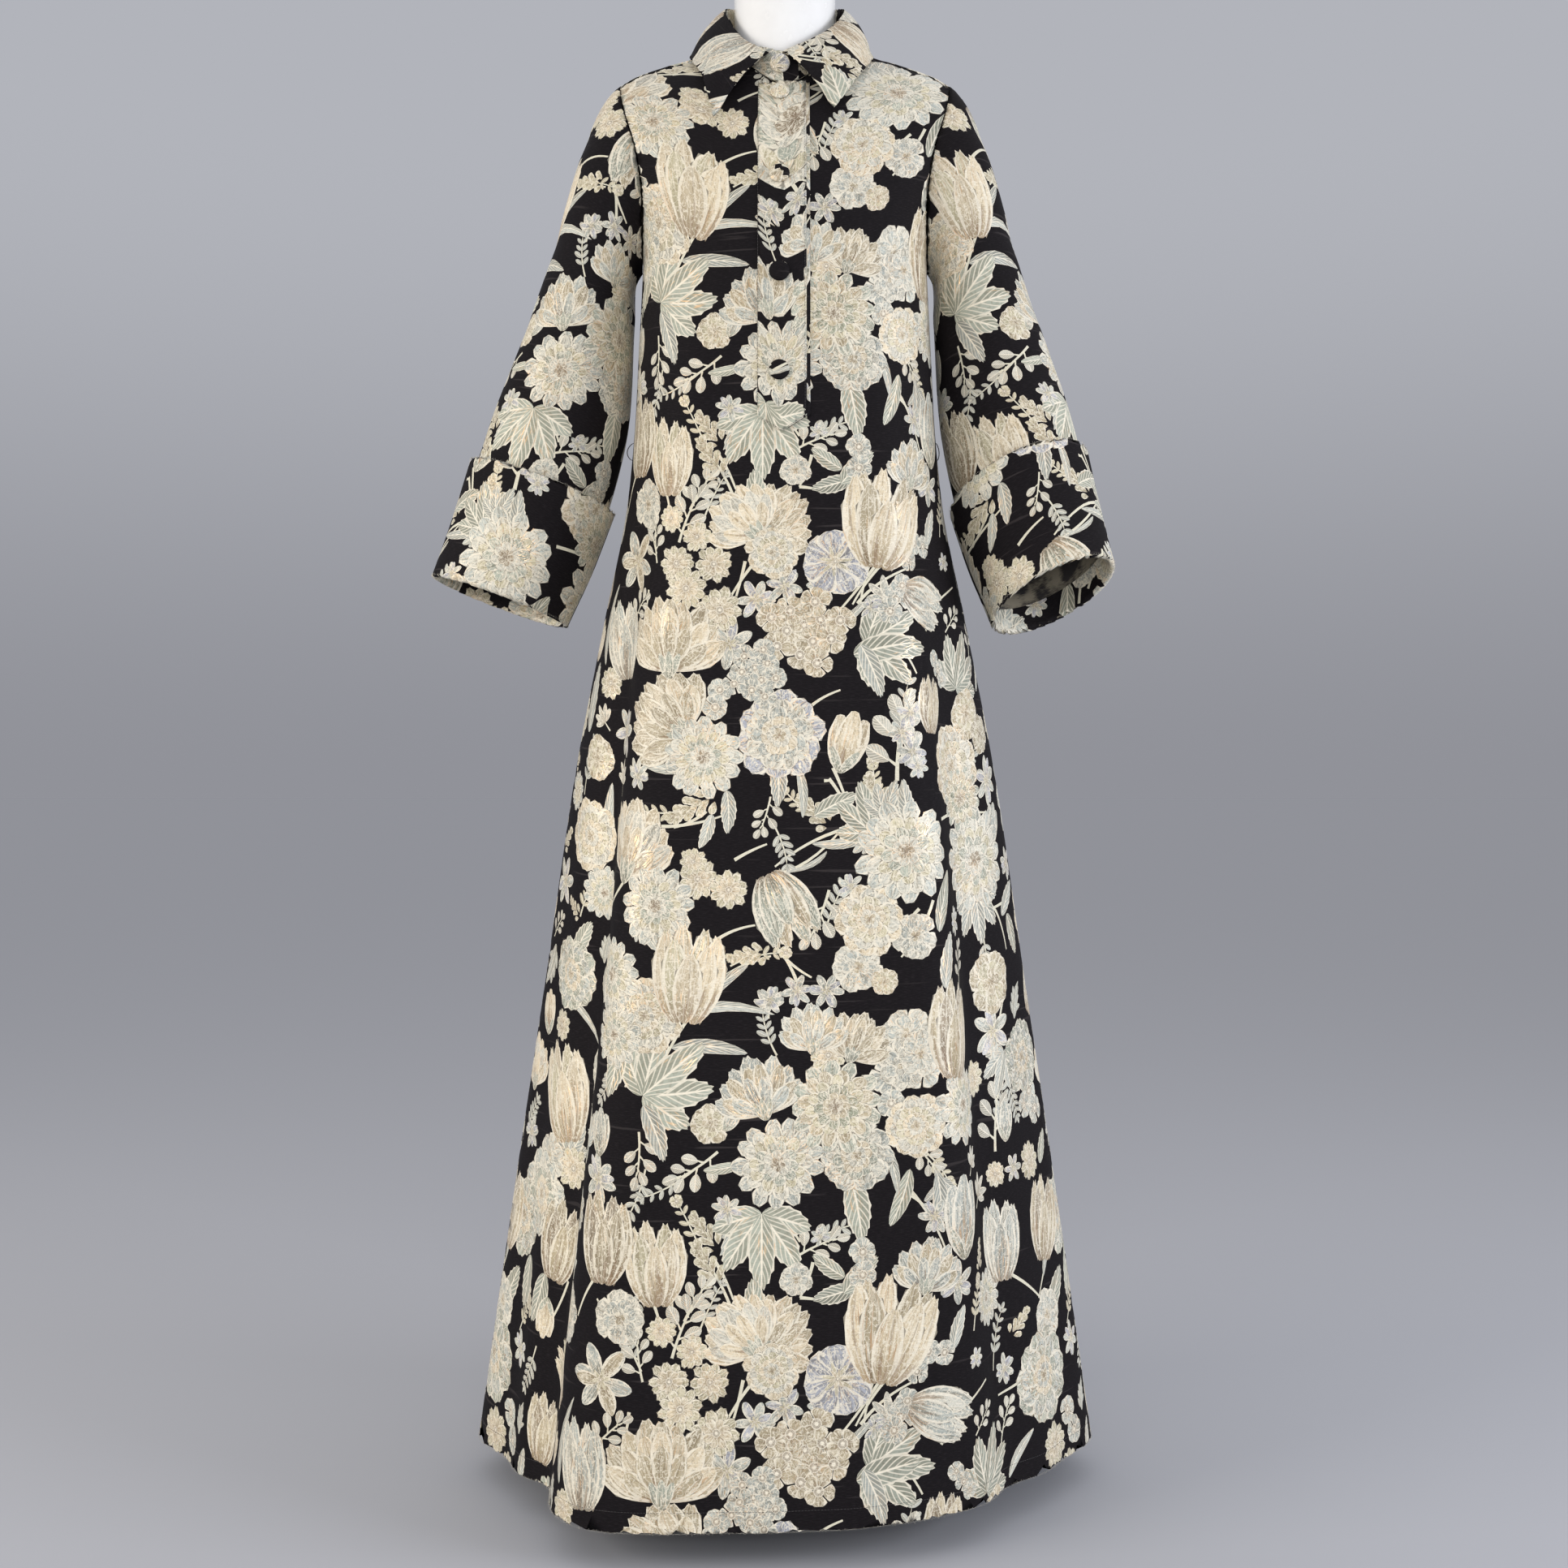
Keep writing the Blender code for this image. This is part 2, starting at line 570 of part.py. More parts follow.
def collar_stand(collection):
    """The neckband, whose buttoned end lies over the hidden one at the centre front."""
    over_end = math.asin(STAND_OVER_END / NECK_HALF_WIDTH) / math.pi
    under_end = math.asin(STAND_UNDER_END / NECK_HALF_WIDTH) / math.pi
    right = np.linspace(under_end, 1, 22)
    left = np.linspace(-1, over_end, 21)[1:]
    step = np.concatenate([np.zeros(22), np.clip((left + 0.20) / 0.16, 0, 1)])
    step = (CLOTH + 2 * SEAM) * step * step * (3 - 2 * step)
    turns = np.concatenate([right, left])
    grid = []
    for rise in (0.0, 0.5, 1.0):
        line = stand_point(turns, rise)
        away = line * np.array([1.0, 1.0, 0.0])
        away /= np.linalg.norm(away, axis=1, keepdims=True)
        grid.append(line + away * step[:, None])
    wall("collar_stand", lifted(np.array(grid)), collection)


def collar_point(side, turn, down):
    """A point of the fall: turn from the front to the back, down from the fold to the outer edge."""
    sign = -1 if side == "left" else 1
    ends = []
    lines = ((FOLD_OUT, FOLD_BACK, FOLD_UP), (EDGE_OUT, EDGE_BACK, EDGE_UP))
    for out, back, up in lines:
        x = sign * curve(turn, COLLAR_TURN, out[side])
        y = curve(turn, COLLAR_TURN, back)
        ends.append(np.array([x, y, curve(turn, COLLAR_TURN, up[side])]))
    fold, edge = ends
    away = edge - fold
    away[2] = 0.0
    away /= np.linalg.norm(away)
    away[2] = 0.55
    arch = FALL_BULGE * max(0.0, math.sin(math.pi * min(1.0, down * 1.15))) ** 0.7
    return fold + (edge - fold) * down + away * arch


def collar_fall(collection):
    """The turned-down collar, from its left point round the back to its right point."""
    turns = np.linspace(0, 1, 20) ** 1.15
    downs = (1.0, 0.75, 0.5, 0.25, 0.07, 0.0)
    stops = [("left", turn) for turn in turns] + [("right", turn) for turn in turns[::-1][1:]]
    grid = np.array([[collar_point(side, turn, down) for side, turn in stops] for down in downs])
    wall("collar", lifted(grid), collection)


def button_mesh(name):
    """A covered button: a low dome turned from its profile, with a rounded rim and a flat back."""
    profile = [
        (0.0, BUTTON_DOME),
        (BUTTON_RADIUS * 0.45, BUTTON_DOME * 0.93),
        (BUTTON_RADIUS * 0.80, BUTTON_DOME * 0.68),
        (BUTTON_RADIUS * 0.97, BUTTON_DOME * 0.36),
        (BUTTON_RADIUS, BUTTON_DOME * 0.18),
        (BUTTON_RADIUS * 0.93, 0.0),
        (0.0, 0.0),
    ]
    mesh = bpy.data.meshes.new(name)
    mesh.from_pydata([(x, 0.0, z) for x, z in profile], [(i, i + 1) for i in range(len(profile) - 1)], [])
    return mesh


def button(name, place, normal, mesh, collection):
    obj = bpy.data.objects.new(name, mesh)
    obj.rotation_mode = "QUATERNION"
    obj.rotation_quaternion = Vector(normal).to_track_quat("Z", "Y")
    obj.location = Vector(place)
    turned = obj.modifiers.new("turned", "SCREW")
    turned.steps = 18
    turned.render_steps = 18
    turned.use_merge_vertices = True
    turned.merge_threshold = 0.00005
    turned.use_smooth_shade = True
    collection.objects.link(obj)
    return obj


def buttons(tree, collection):
    mesh = button_mesh("button")
    mesh.materials.append(material("brocade"))
    over = 2 * CLOTH + 3 * SEAM + 0.0008
    for count, height in enumerate(BUTTON_HEIGHTS, start=1):
        place, normal = on_front(tree, BUTTON_X, height)
        button(f"button_{count}", place + normal * over, normal, mesh, collection)
    turn = np.array([math.asin(BUTTON_X / NECK_HALF_WIDTH) / math.pi])
    low, high = stand_point(turn, 0.0)[0], stand_point(turn, 1.0)[0]
    up = (high - low) / np.linalg.norm(high - low)
    normal = np.array([0.0, -up[2], up[1]])
    place = lifted(low + (high - low) * 0.56) + normal * (CLOTH + 5 * SEAM)
    button("button_collar", place, normal, mesh, collection)


def belt_loops(collection):
    """Thread carriers: a thin loop standing off each side seam at the waist."""
    for side, sign, reach in (("left", -1, LOOP_REACH_LEFT), ("right", 1, LOOP_REACH_RIGHT)):
        angle = 180.0 if side == "left" else 0.0
        line = bpy.data.curves.new(f"belt_loop_{side}", "CURVE")
        line.dimensions = "3D"
        line.bevel_depth = LOOP_THREAD
        line.bevel_resolution = 2
        line.use_fill_caps = True
        path = line.splines.new("POLY")
        steps = 14
        path.points.add(steps)
        for k in range(steps + 1):
            share = k / steps
            height = LOOP_HEIGHT - LOOP_LENGTH / 2 + LOOP_LENGTH * share
            seam = body_section(np.array([angle]), np.array([height]))[0]
            stand = LOOP_THREAD + 2 * SEAM + reach * math.sin(math.pi * share) ** 0.6
            point = lifted(seam + np.array([sign * stand, 0.0, 0.0]))
            path.points[k].co = (*point, 1.0)
        link(bpy.data.objects.new(f"belt_loop_{side}", line), "thread", collection)


def oval(angles, half_width, front_depth, back_depth, squareness):
    """Distances from the middle to a flattened ring at each angle."""
    across, along = np.cos(angles), np.sin(angles)
    deep = np.where(along < 0, front_depth, back_depth)
    sides = np.abs(across / half_width) ** squareness + np.abs(along / deep) ** squareness
    return sides ** (-1 / squareness)


def display_form(collection):
    """The torso, with its neck run down into the shoulders and rounded off at the top."""
    angles = np.radians(np.linspace(0, 360, FORM_AROUND, endpoint=False))
    neck = oval(angles, *FORM_NECK, 2.0)
    rings = []
    for height, half_width, front_depth, back_depth, squareness in FORM:
        radius = oval(angles, half_width, front_depth, back_depth, squareness)
        rings.append((height, np.maximum(radius, neck) if height >= FORM_NECK_FROM else radius))
    for height in FORM_NECK_HEIGHTS:
        rings.append((height, neck - (0.004 if height == FORM_NECK_HEIGHTS[-1] else 0.0)))
    points = [
        (radius * math.cos(angle), radius * math.sin(angle), height + HEM_HEIGHT)
        for height, radii in rings
        for angle, radius in zip(angles, radii)
    ]
    count = len(angles)
    faces = grid_faces(len(rings), count, around=True)
    faces.append(tuple(reversed(range(count))))
    faces.append(tuple(range((len(rings) - 1) * count, len(rings) * count)))
    mesh = bpy.data.meshes.new("form_torso")
    mesh.from_pydata(points, [], faces)
    mesh.shade_smooth()
    mesh.set_sharp_from_angle(angle=math.radians(40))
    link(bpy.data.objects.new("form_torso", mesh), "gloss_white", collection)


def cylinder(name, radius, low, high, collection, finish, bevel, vertices):
    mesh = bpy.data.meshes.new(name)
    work = bmesh.new()
    bmesh.ops.create_cone(
        work,
        cap_ends=True,
        segments=vertices,
        radius1=radius,
        radius2=radius,
        depth=high - low,
        matrix=Matrix.Translation((0.0, 0.0, (low + high) / 2)),
    )
    work.to_mesh(mesh)
    work.free()
    mesh.shade_smooth()
    mesh.set_sharp_from_angle(angle=math.radians(40))
    obj = bpy.data.objects.new(name, mesh)
    edge = obj.modifiers.new("edge", "BEVEL")
    edge.width = bevel
    edge.segments = 2
    edge.limit_method = "ANGLE"
    return link(obj, finish, collection)


def stand(collection):
    form_bottom = FORM[0][0] + HEM_HEIGHT
    pole = (BASE_THICKNESS + SEAM, form_bottom - SEAM)
    cylinder("stand_base", BASE_RADIUS, 0.0, BASE_THICKNESS, collection, "brushed_steel", 0.0015, 48)
    cylinder("stand_pole", POLE_RADIUS, *pole, collection, "brushed_steel", 0.0008, 24)


def main():
    clear_scene()
    dress = bpy.data.collections.new("a_line_dress")
    bpy.context.scene.collection.children.link(dress)
    front = panel_grid("front", FRONT_COLUMNS, FRONT_ROWS, YOKE_ROWS)
    wall("front", front, dress)
    wall("back", panel_grid("back", BACK_COLUMNS, BACK_ROWS, YOKE_ROWS), dress, flip=True)
    tree = surface_tree(front)
    sleeves(dress)
    plackets(tree, dress)
    collar_stand(dress)
    collar_fall(dress)
    buttons(tree, dress)
    belt_loops(dress)
    display_form(dress)
    stand(dress)


main()
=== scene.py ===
"""The looks of the brocade dress and the display form that wears it.

Each cloth piece is one mesh, cut along the outlines of the flowers woven into it, so that every
petal, leaf and stem has its own dye and thread direction. The flowers are drawn once, in a
repeat laid out on the flat cloth, and every piece takes its part of that repeat.
"""

import math
from functools import partial

import bpy
import numpy as np
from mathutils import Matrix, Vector, geometry
from mathutils.bvhtree import BVHTree


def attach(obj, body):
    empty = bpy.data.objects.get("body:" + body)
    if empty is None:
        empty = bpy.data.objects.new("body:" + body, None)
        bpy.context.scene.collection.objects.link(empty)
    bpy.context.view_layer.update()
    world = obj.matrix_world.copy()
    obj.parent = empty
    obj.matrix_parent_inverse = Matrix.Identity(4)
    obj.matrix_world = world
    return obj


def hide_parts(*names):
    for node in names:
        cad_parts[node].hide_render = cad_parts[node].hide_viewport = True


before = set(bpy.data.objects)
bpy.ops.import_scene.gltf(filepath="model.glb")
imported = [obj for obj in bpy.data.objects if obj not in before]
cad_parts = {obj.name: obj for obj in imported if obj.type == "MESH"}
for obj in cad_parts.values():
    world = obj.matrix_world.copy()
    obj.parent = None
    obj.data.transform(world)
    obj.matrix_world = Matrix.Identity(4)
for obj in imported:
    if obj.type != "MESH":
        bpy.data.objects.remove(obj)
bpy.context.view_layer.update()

MM = 0.001
CUT_EXACT = 2e-5


def metres(values):
    """Values read off in whole millimetres, in metres."""
    return [value / 1000 for value in values]


def linked(name, data):
    """An object that holds the data, in the scene."""
    obj = bpy.data.objects.new(name, data)
    bpy.context.scene.collection.objects.link(obj)
    return obj


# Sizes of the dress, in metres; heights are above the hem
CLOTH = 0.0015
SEAM = 0.0003
SEAM_LEAN = 0.0005
HEM_HEIGHT = 0.040
HEM_TURN_UP = 0.0195
UNDERARM = 1.300

# Height, half width, front depth, back depth and squareness.
BODY = (
    (0.000, 0.3475, 0.2640, 0.2400, 2.00),
    (0.256, 0.3095, 0.2380, 0.2160, 2.00),
    (0.517, 0.2695, 0.2085, 0.1900, 2.05),
    (0.761, 0.2320, 0.1810, 0.1665, 2.15),
    (0.915, 0.2010, 0.1630, 0.1500, 2.30),
    (1.030, 0.1770, 0.1500, 0.1385, 2.40),
    (1.110, 0.1680, 0.1410, 0.1300, 2.45),
    (1.210, 0.1625, 0.1320, 0.1210, 2.45),
    (1.300, 0.1580, 0.1240, 0.1130, 2.40),
)

# Folds of the skirt: direction and width in degrees, and depth in mm at each level.
FOLD_HEIGHTS = (0.00, 0.24, 0.47, 0.80, 1.05, 1.30)
FOLDS = (
    ("left_side_hollow", -166, 10, (-32, -24, -17, -6, -1, 0)),
    ("left_front_valley", -149.8, 8, (-31, -30, -29, -17, -3, 0)),
    ("left_front_ridge", -128.5, 12, (31, 26, 22, 14, 6, 0)),
    ("left_ridge_slope", -114, 10, (10, 7, 4, 1, 0, 0)),
    ("centre_dip", -84, 9, (-5, -4, -3, -1, 0, 0)),
    ("right_ridge_slope", -67, 10, (-7, -1, 3, 2, 0, 0)),
    ("right_front_ridge", -50, 11, (-13, 4, 17, 13, 6, 0)),
    ("right_front_valley", -31, 11, (-40, -33, -25, -14, -3, 0)),
    ("right_side_hollow", -14, 10, (-28, -20, -13, -5, -1, 0)),
    ("right_back_valley", 24, 11, (-30, -21, -13, -4, 0, 0)),
    ("right_back_ridge", 50, 12, (22, 15, 9, 4, 1, 0)),
    ("right_back_dip", 74, 10, (-17, -11, -6, -1, 0, 0)),
    ("centre_back_ridge", 95, 10, (15, 9, 4, 1, 0, 0)),
    ("left_back_dip", 114, 9, (-15, -10, -5, -1, 0, 0)),
    ("left_back_ridge", 134, 12, (24, 17, 10, 4, 1, 0)),
    ("left_back_valley", 158, 11, (-31, -22, -14, -4, 0, 0)),
)

SHOULDER_SEAM_Y = -0.014
SHOULDER_LINE_X = (0.073, 0.100, 0.125, 0.150, 0.168, 0.183)
SHOULDER_LINE_Z = (1.5460, 1.5345, 1.5275, 1.5195, 1.5125, 1.5035)
SHOULDER_LINE_SLOPE = -0.44
ARMHOLE_EDGE_X = 0.228
PAST_TIP_DROP = 0.7
YOKE_LENGTH = 0.24
SLOPE_STEP = 0.02  # how far below the underarm the body's own slope is measured
CROWN = {"front": 1.565, "back": 1.585}
NECK_HALF_WIDTH = SHOULDER_LINE_X[0]
NECK_SHARE = 0.36
TIP_SHARE = 0.80
NECK_CUT = {"front": 0.653, "back": 0.720}
NECK_ROUNDNESS = {"front": 1.0, "back": 0.36}
# How the yoke arrives over the shoulder: its slope at the centre and at the shoulder.
YOKE_SLOPES = {
    "front": ((0.0, 0.70, 0.66), (0.0, 0.80, 0.62)),
    "back": ((0.0, -1.10, -0.10), (0.0, -0.80, -0.60)),
}

ARMHOLE_RISE = (0.00, 0.06, 0.15, 0.30, 0.50, 0.75, 1.00)
ARMHOLE_FRONT = (1.00, 0.930, 0.860, 0.795, 0.775, 0.790, TIP_SHARE)
ARMHOLE_BACK = (1.00, 0.945, 0.880, 0.820, 0.800, 0.795, TIP_SHARE)

SLEEVE_COLUMNS = ("out", "back", "height", "width", "depth", "tilt_out", "tilt_front")
LEFT_SLEEVE = (
    (0.2215, 0.004, 1.2620, 0.111, 0.126, 17.0, 0.0),
    (0.2470, 0.003, 1.1400, 0.147, 0.130, 18.0, 2.0),
    (0.2875, -0.004, 1.0100, 0.157, 0.122, 19.5, 4.0),
    (0.3170, -0.010, 0.9330, 0.156, 0.116, 20.0, 5.0),
)
RIGHT_SLEEVE = (
    (0.2195, 0.004, 1.2620, 0.110, 0.126, 17.0, 0.0),
    (0.2425, -0.004, 1.1400, 0.142, 0.130, 18.0, 7.0),
    (0.2705, -0.028, 1.0150, 0.148, 0.126, 20.5, 18.0),
    (0.2915, -0.055, 0.9350, 0.141, 0.124, 22.0, 26.0),
)
CAP_TOP = (0.120, 0.000, -0.075)
CAP_UNDER = (0.045, 0.000, -0.060)
CAP_FRONT = (0.020, -0.045, 0.000)
CUFF_HEIGHT = 0.136
CUFF_FLARE = 0.006
CUFF_FACING = 0.028

COLLAR_TURN = (0.00, 0.22, 0.50, 0.75, 1.00)
FOLD_OUT = {
    "left": (0.0165, 0.0455, 0.0665, 0.0460, 0.0000),
    "right": (-0.0030, 0.0430, 0.0665, 0.0460, 0.0000),
}
FOLD_BACK = (-0.0720, -0.0540, -0.0060, 0.0460, 0.0610)
FOLD_UP = {
    "left": (1.5200, 1.5420, 1.5935, 1.6130, 1.6180),
    "right": (1.5205, 1.5490, 1.5935, 1.6130, 1.6180),
}
EDGE_OUT = {
    "left": (0.0760, 0.0880, 0.1050, 0.0680, 0.0000),
    "right": (0.0525, 0.0780, 0.0980, 0.0660, 0.0000),
}
EDGE_BACK = (-0.1020, -0.0780, -0.0060, 0.0700, 0.0850)
EDGE_UP = {
    "left": (1.4390, 1.4900, 1.5420, 1.5600, 1.5700),
    "right": (1.4490, 1.4900, 1.5420, 1.5600, 1.5700),
}
FALL_BULGE = 0.0045
STAND_OUT = (0.000, 0.0424, 0.0651, 0.0450, 0.000)
STAND_BACK = (-0.0704, -0.0523, -0.0060, 0.0450, 0.0596)
STAND_UP = (1.5192, 1.5400, 1.5930, 1.6125, 1.6175)
STAND_UNDER_END = -0.022
STAND_OVER_END = 0.015

PLACKET_LEFT = -0.0285
PLACKET_RIGHT = 0.0225
PLACKET_UNDER_LEFT = 0.0040
PLACKET_UNDER_RIGHT = 0.0265
PLACKET_SHOULDER = 1.112
PLACKET_TIP = 1.095
PLACKET_TOP = 1.4850
BUTTON_X = -0.0058
BUTTON_HEIGHTS = (1.4705, 1.372, 1.2655, 1.160)
BUTTON_RADIUS = 0.0108
BUTTON_DOME = 0.0048

LOOP_HEIGHT = 1.101
LOOP_LENGTH = 0.019
LOOP_THREAD = 0.0006
LOOP_REACH = {"left": 0.0065, "right": 0.0028}
LOOP_STRAND, LOOP_LAY, LOOP_TWISTS, LOOP_STEPS = 0.00034, 0.0003, 7, 41

# How finely each form is measured, and how far apart its mesh has points where no flower asks for more.
PANEL_COLUMNS, SKIRT_ROWS, YOKE_ROWS = 120, 150, 40
SLEEVE_STEPS, SLEEVE_ROWS, PLACKET_ROWS = 40, 80, 70
CUFF_INSIDE_ROWS, CUFF_OUTSIDE_ROWS, CUFF_BEHIND_ROWS = 8, 30, 8
CUFF_RIM = (25, 55, 90, 125, 155)
EASE_ROUNDS = 1500
SPACING = {"panel": 0.012, "sleeve": 0.0085, "cuff": 0.0075, "small": 0.006, "button": 0.0012}


# Form of the cloth


def curve(at, knots, values):
    """A smooth line through a short table; the values may be numbers or points."""
    knots = np.asarray(knots, float)
    values = np.asarray(values, float)
    slopes = np.gradient(values, knots, axis=0)
    at = np.clip(np.asarray(at, float), knots[0], knots[-1])
    i = np.clip(np.searchsorted(knots, at, side="right") - 1, 0, len(knots) - 2)
    more = (...,) + (None,) * (values.ndim - 1)
    step = (knots[i + 1] - knots[i])[more]
    t = (at - knots[i])[more] / step
    return hermite(t, values[i], values[i + 1], slopes[i] * step, slopes[i + 1] * step)


def hermite(t, start, end, start_slope, end_slope):
    return (
        (2 * t**3 - 3 * t**2 + 1) * start
        + (t**3 - 2 * t**2 + t) * start_slope
        + (3 * t**2 - 2 * t**3) * end
        + (t**3 - t**2) * end_slope
    )


def smooth(x, low, high):
    t = np.clip((x - low) / (high - low), 0, 1)
    return t * t * (3 - 2 * t)


def unit(vectors):
    return vectors / np.maximum(np.linalg.norm(vectors, axis=-1, keepdims=True), 1e-12)


def section(table, height):
    """The half width, front and back depth and squareness that a table gives at a height."""
    rows = np.array(table)
    return np.moveaxis(curve(height, rows[:, 0], rows[:, 1:]), -1, 0)


def oval(turn, half_width, front_depth, back_depth, squareness):
    """How far out an oval body reaches, turned from its right side; its front lies at -90 degrees."""
    across, along = np.cos(turn), np.sin(turn)
    deep = np.where(along < 0, front_depth, back_depth)
    sides = np.abs(across / half_width) ** squareness + np.abs(along / deep) ** squareness
    return sides ** (-1 / squareness)


def body_section(angle, height):
    """Points of the dress below the armholes: angle in degrees from the right side seam."""
    turn = np.radians(angle)
    radius = oval(turn, *section(BODY, height))
    for _, middle, spread, depths in FOLDS:
        away = (angle - middle + 180) % 360 - 180
        radius = radius + MM * curve(height, FOLD_HEIGHTS, depths) * np.exp(-((away / spread) ** 2))
    return np.stack([radius * np.cos(turn), radius * np.sin(turn), height + 0 * angle], axis=-1)


def top_line(share, side):
    widths = (0.0, NECK_HALF_WIDTH, SHOULDER_LINE_X[-1], ARMHOLE_EDGE_X)
    x = curve(np.abs(share), (0.0, NECK_SHARE, TIP_SHARE, 1.0), widths)
    way = np.clip(x / NECK_HALF_WIDTH, 0, 1)
    crown = hermite(way, CROWN[side], SHOULDER_LINE_Z[0], 0.0, SHOULDER_LINE_SLOPE * NECK_HALF_WIDTH)
    past_tip = np.clip(x - SHOULDER_LINE_X[-1], 0, None)
    seam = curve(x, SHOULDER_LINE_X, SHOULDER_LINE_Z) - PAST_TIP_DROP * past_tip
    z = np.where(x < NECK_HALF_WIDTH, crown, seam)
    return np.stack([x * np.sign(share), np.full_like(x, SHOULDER_SEAM_Y), z], axis=-1)


def panel_angle(share, side):
    return -90 + 90 * share if side == "front" else 90 - 90 * share


def yoke(share, rise, side):
    """Points above the underarm: rise is 0 at the underarm and 1 on the line over the shoulder."""
    angle = panel_angle(share, side)
    level = np.full_like(angle, UNDERARM)
    low = body_section(angle, level)
    slope = (low - body_section(angle, level - SLOPE_STEP)) / SLOPE_STEP
    high = top_line(share, side)
    length = np.linalg.norm(high - low, axis=-1, keepdims=True)
    over = np.clip(np.abs(share) / NECK_SHARE, 0, 1)[..., None]
    over = over * over * (3 - 2 * over)
    at_centre, at_shoulder = np.array(YOKE_SLOPES[side])
    end_slope = (at_centre + (at_shoulder - at_centre) * over) * length
    return hermite(np.asarray(rise)[..., None], low, high, slope * length, end_slope)


def neck_cut(share, side):
    """How far up a column the neckline, or past it the shoulder seam, cuts it."""
    seam = 1 - (SEAM / 2 + SEAM_LEAN * 0.7) / YOKE_LENGTH
    way = np.clip(np.abs(share) / NECK_SHARE, 0, 1) * math.pi / 2
    return seam - (seam - NECK_CUT[side]) * np.clip(np.cos(way), 0, 1) ** NECK_ROUNDNESS[side]


def armhole_share(rise, side):
    return curve(rise, ARMHOLE_RISE, ARMHOLE_FRONT if side == "front" else ARMHOLE_BACK)


def panel_points(side):
    """The front or the back as rows of points from the hem up, each from left to right."""
    shares = np.linspace(-1, 1, PANEL_COLUMNS + 1)
    grid = []
    for height in UNDERARM * np.linspace(0, 1, SKIRT_ROWS + 1):
        wide = float(section(BODY, height)[0])
        lean = SEAM_LEAN * (1 - 0.8 * height / UNDERARM)
        trim = 1 - (SEAM / 2 + lean) / (math.pi / 2 * wide)
        angle = panel_angle(shares * trim, side)
        grid.append(body_section(angle, np.full_like(angle, height)))
    cuts = neck_cut(shares * TIP_SHARE, side)
    for part in np.linspace(0, 1, YOKE_ROWS + 1)[1:]:
        grid.append(yoke(shares * float(armhole_share(part, side)), part * cuts, side))
    return lifted(np.array(grid))


def lifted(points):
    return points + np.array([0.0, 0.0, HEM_HEIGHT])


def mirrored(points):
    return points * np.array([-1.0, 1.0, 1.0])


def armhole_loop():
    """The right armhole seam, from the underarm up the front to the shoulder and down the back."""
    rise = np.linspace(0, 1, SLEEVE_STEPS + 1)
    front = yoke(armhole_share(rise, "front"), rise, "front")
    back = yoke(armhole_share(rise, "back"), rise, "back")
    return np.concatenate([front, back[::-1][1:-1]])


def sleeve_ring(row, around):
    size = dict(zip(SLEEVE_COLUMNS, row))
    out, front = math.radians(size["tilt_out"]), math.radians(size["tilt_front"])
    outward = np.array([math.cos(out), 0.0, math.sin(out)])
    forward = np.array([0.0, -math.cos(front), math.sin(front)])
    middle = np.array([size["out"], size["back"], size["height"]])
    return (
        middle
        - outward * size["width"] / 2 * np.cos(around)[:, None]
        + forward * size["depth"] / 2 * np.sin(around)[:, None]
    )


def sleeve_points(table):
    """Rows of points round the right sleeve, from the armhole down to its bottom."""
    seam = armhole_loop() + np.array([3 * SEAM, 0.0, 0.0])
    count = len(seam)
    around = np.linspace(0, 2 * math.pi, count, endpoint=False)
    rings = np.array([sleeve_ring(row, around) for row in table])
    down = unit(rings[1] - rings[0])
    lift = (1 - np.cos(around))[:, None] / 2
    front = np.sin(around)[:, None]
    leave = np.array(CAP_UNDER) * (1 - lift) + np.array(CAP_TOP) * lift + np.array(CAP_FRONT) * front
    reach = np.linalg.norm(rings[0] - seam, axis=1, keepdims=True)
    cap = SLEEVE_ROWS // 2
    grid = [hermite(t, seam, rings[0], leave, down * reach * 1.1) for t in np.linspace(0, 1, cap + 1)]
    levels = np.linspace(0, len(rings) - 1, SLEEVE_ROWS - cap + 1)[1:]
    return np.concatenate([np.array(grid), curve(levels, np.arange(len(rings)), rings)])


def along_sleeve(grid, distance):
    """The ring of points this far up from the bottom of the sleeve, measured on its surface."""
    found = []
    for i in range(grid.shape[1]):
        line = grid[::-1, i]
        run = np.concatenate([[0], np.cumsum(np.linalg.norm(np.diff(line, axis=0), axis=1))])
        found.append([np.interp(distance, run, line[:, axis]) for axis in range(3)])
    return np.array(found)


def ring_normals(ring, below):
    along = np.roll(ring, -1, axis=0) - np.roll(ring, 1, axis=0)
    out = unit(np.cross(along, below - ring))
    return out * np.sign(((ring - ring.mean(axis=0)) * out).sum(axis=1, keepdims=True))


# Cloth: one mesh for a piece, cut along the woven flowers

CLOSE_ROWS = 0.0012
EASE_PACE = 8.5
LEVEL = np.array([1.0, 1.0, 0.0])


def middle_of(points):
    return points.reshape(-1, 3).mean(axis=0)


def outward_normals(points, middle=None):
    """Directions out of a grid of points, away from the line that runs up through middle."""
    normals = unit(np.cross(np.gradient(points, axis=1), np.gradient(points, axis=0)))
    if middle is None:
        middle = middle_of(points)
    away = (points - middle) * LEVEL
    return normals * np.sign((normals * away).sum())


def turned_edges(points, sides, depth=CLOTH, middle=None):
    """The grid with its cut edges turned in by the cloth's thickness, on the sides named."""
    for side in sides:
        normals = outward_normals(points, middle)
        axis = 0 if side in ("first_row", "last_row") else 1
        if side in ("last_row", "last_column"):
            points, normals = np.flip(points, axis), np.flip(normals, axis)
        edge = points.take([0], axis) - points.take([1], axis)
        past = points.take([0], axis) + unit(edge) * depth * 0.12
        inward = normals.take([0], axis)
        added = [past - inward * depth * share for share in (1.0, 0.55, 0.14)]
        points = np.concatenate(added + [points], axis)
        if side in ("last_row", "last_column"):
            points = np.flip(points, axis)
    return points


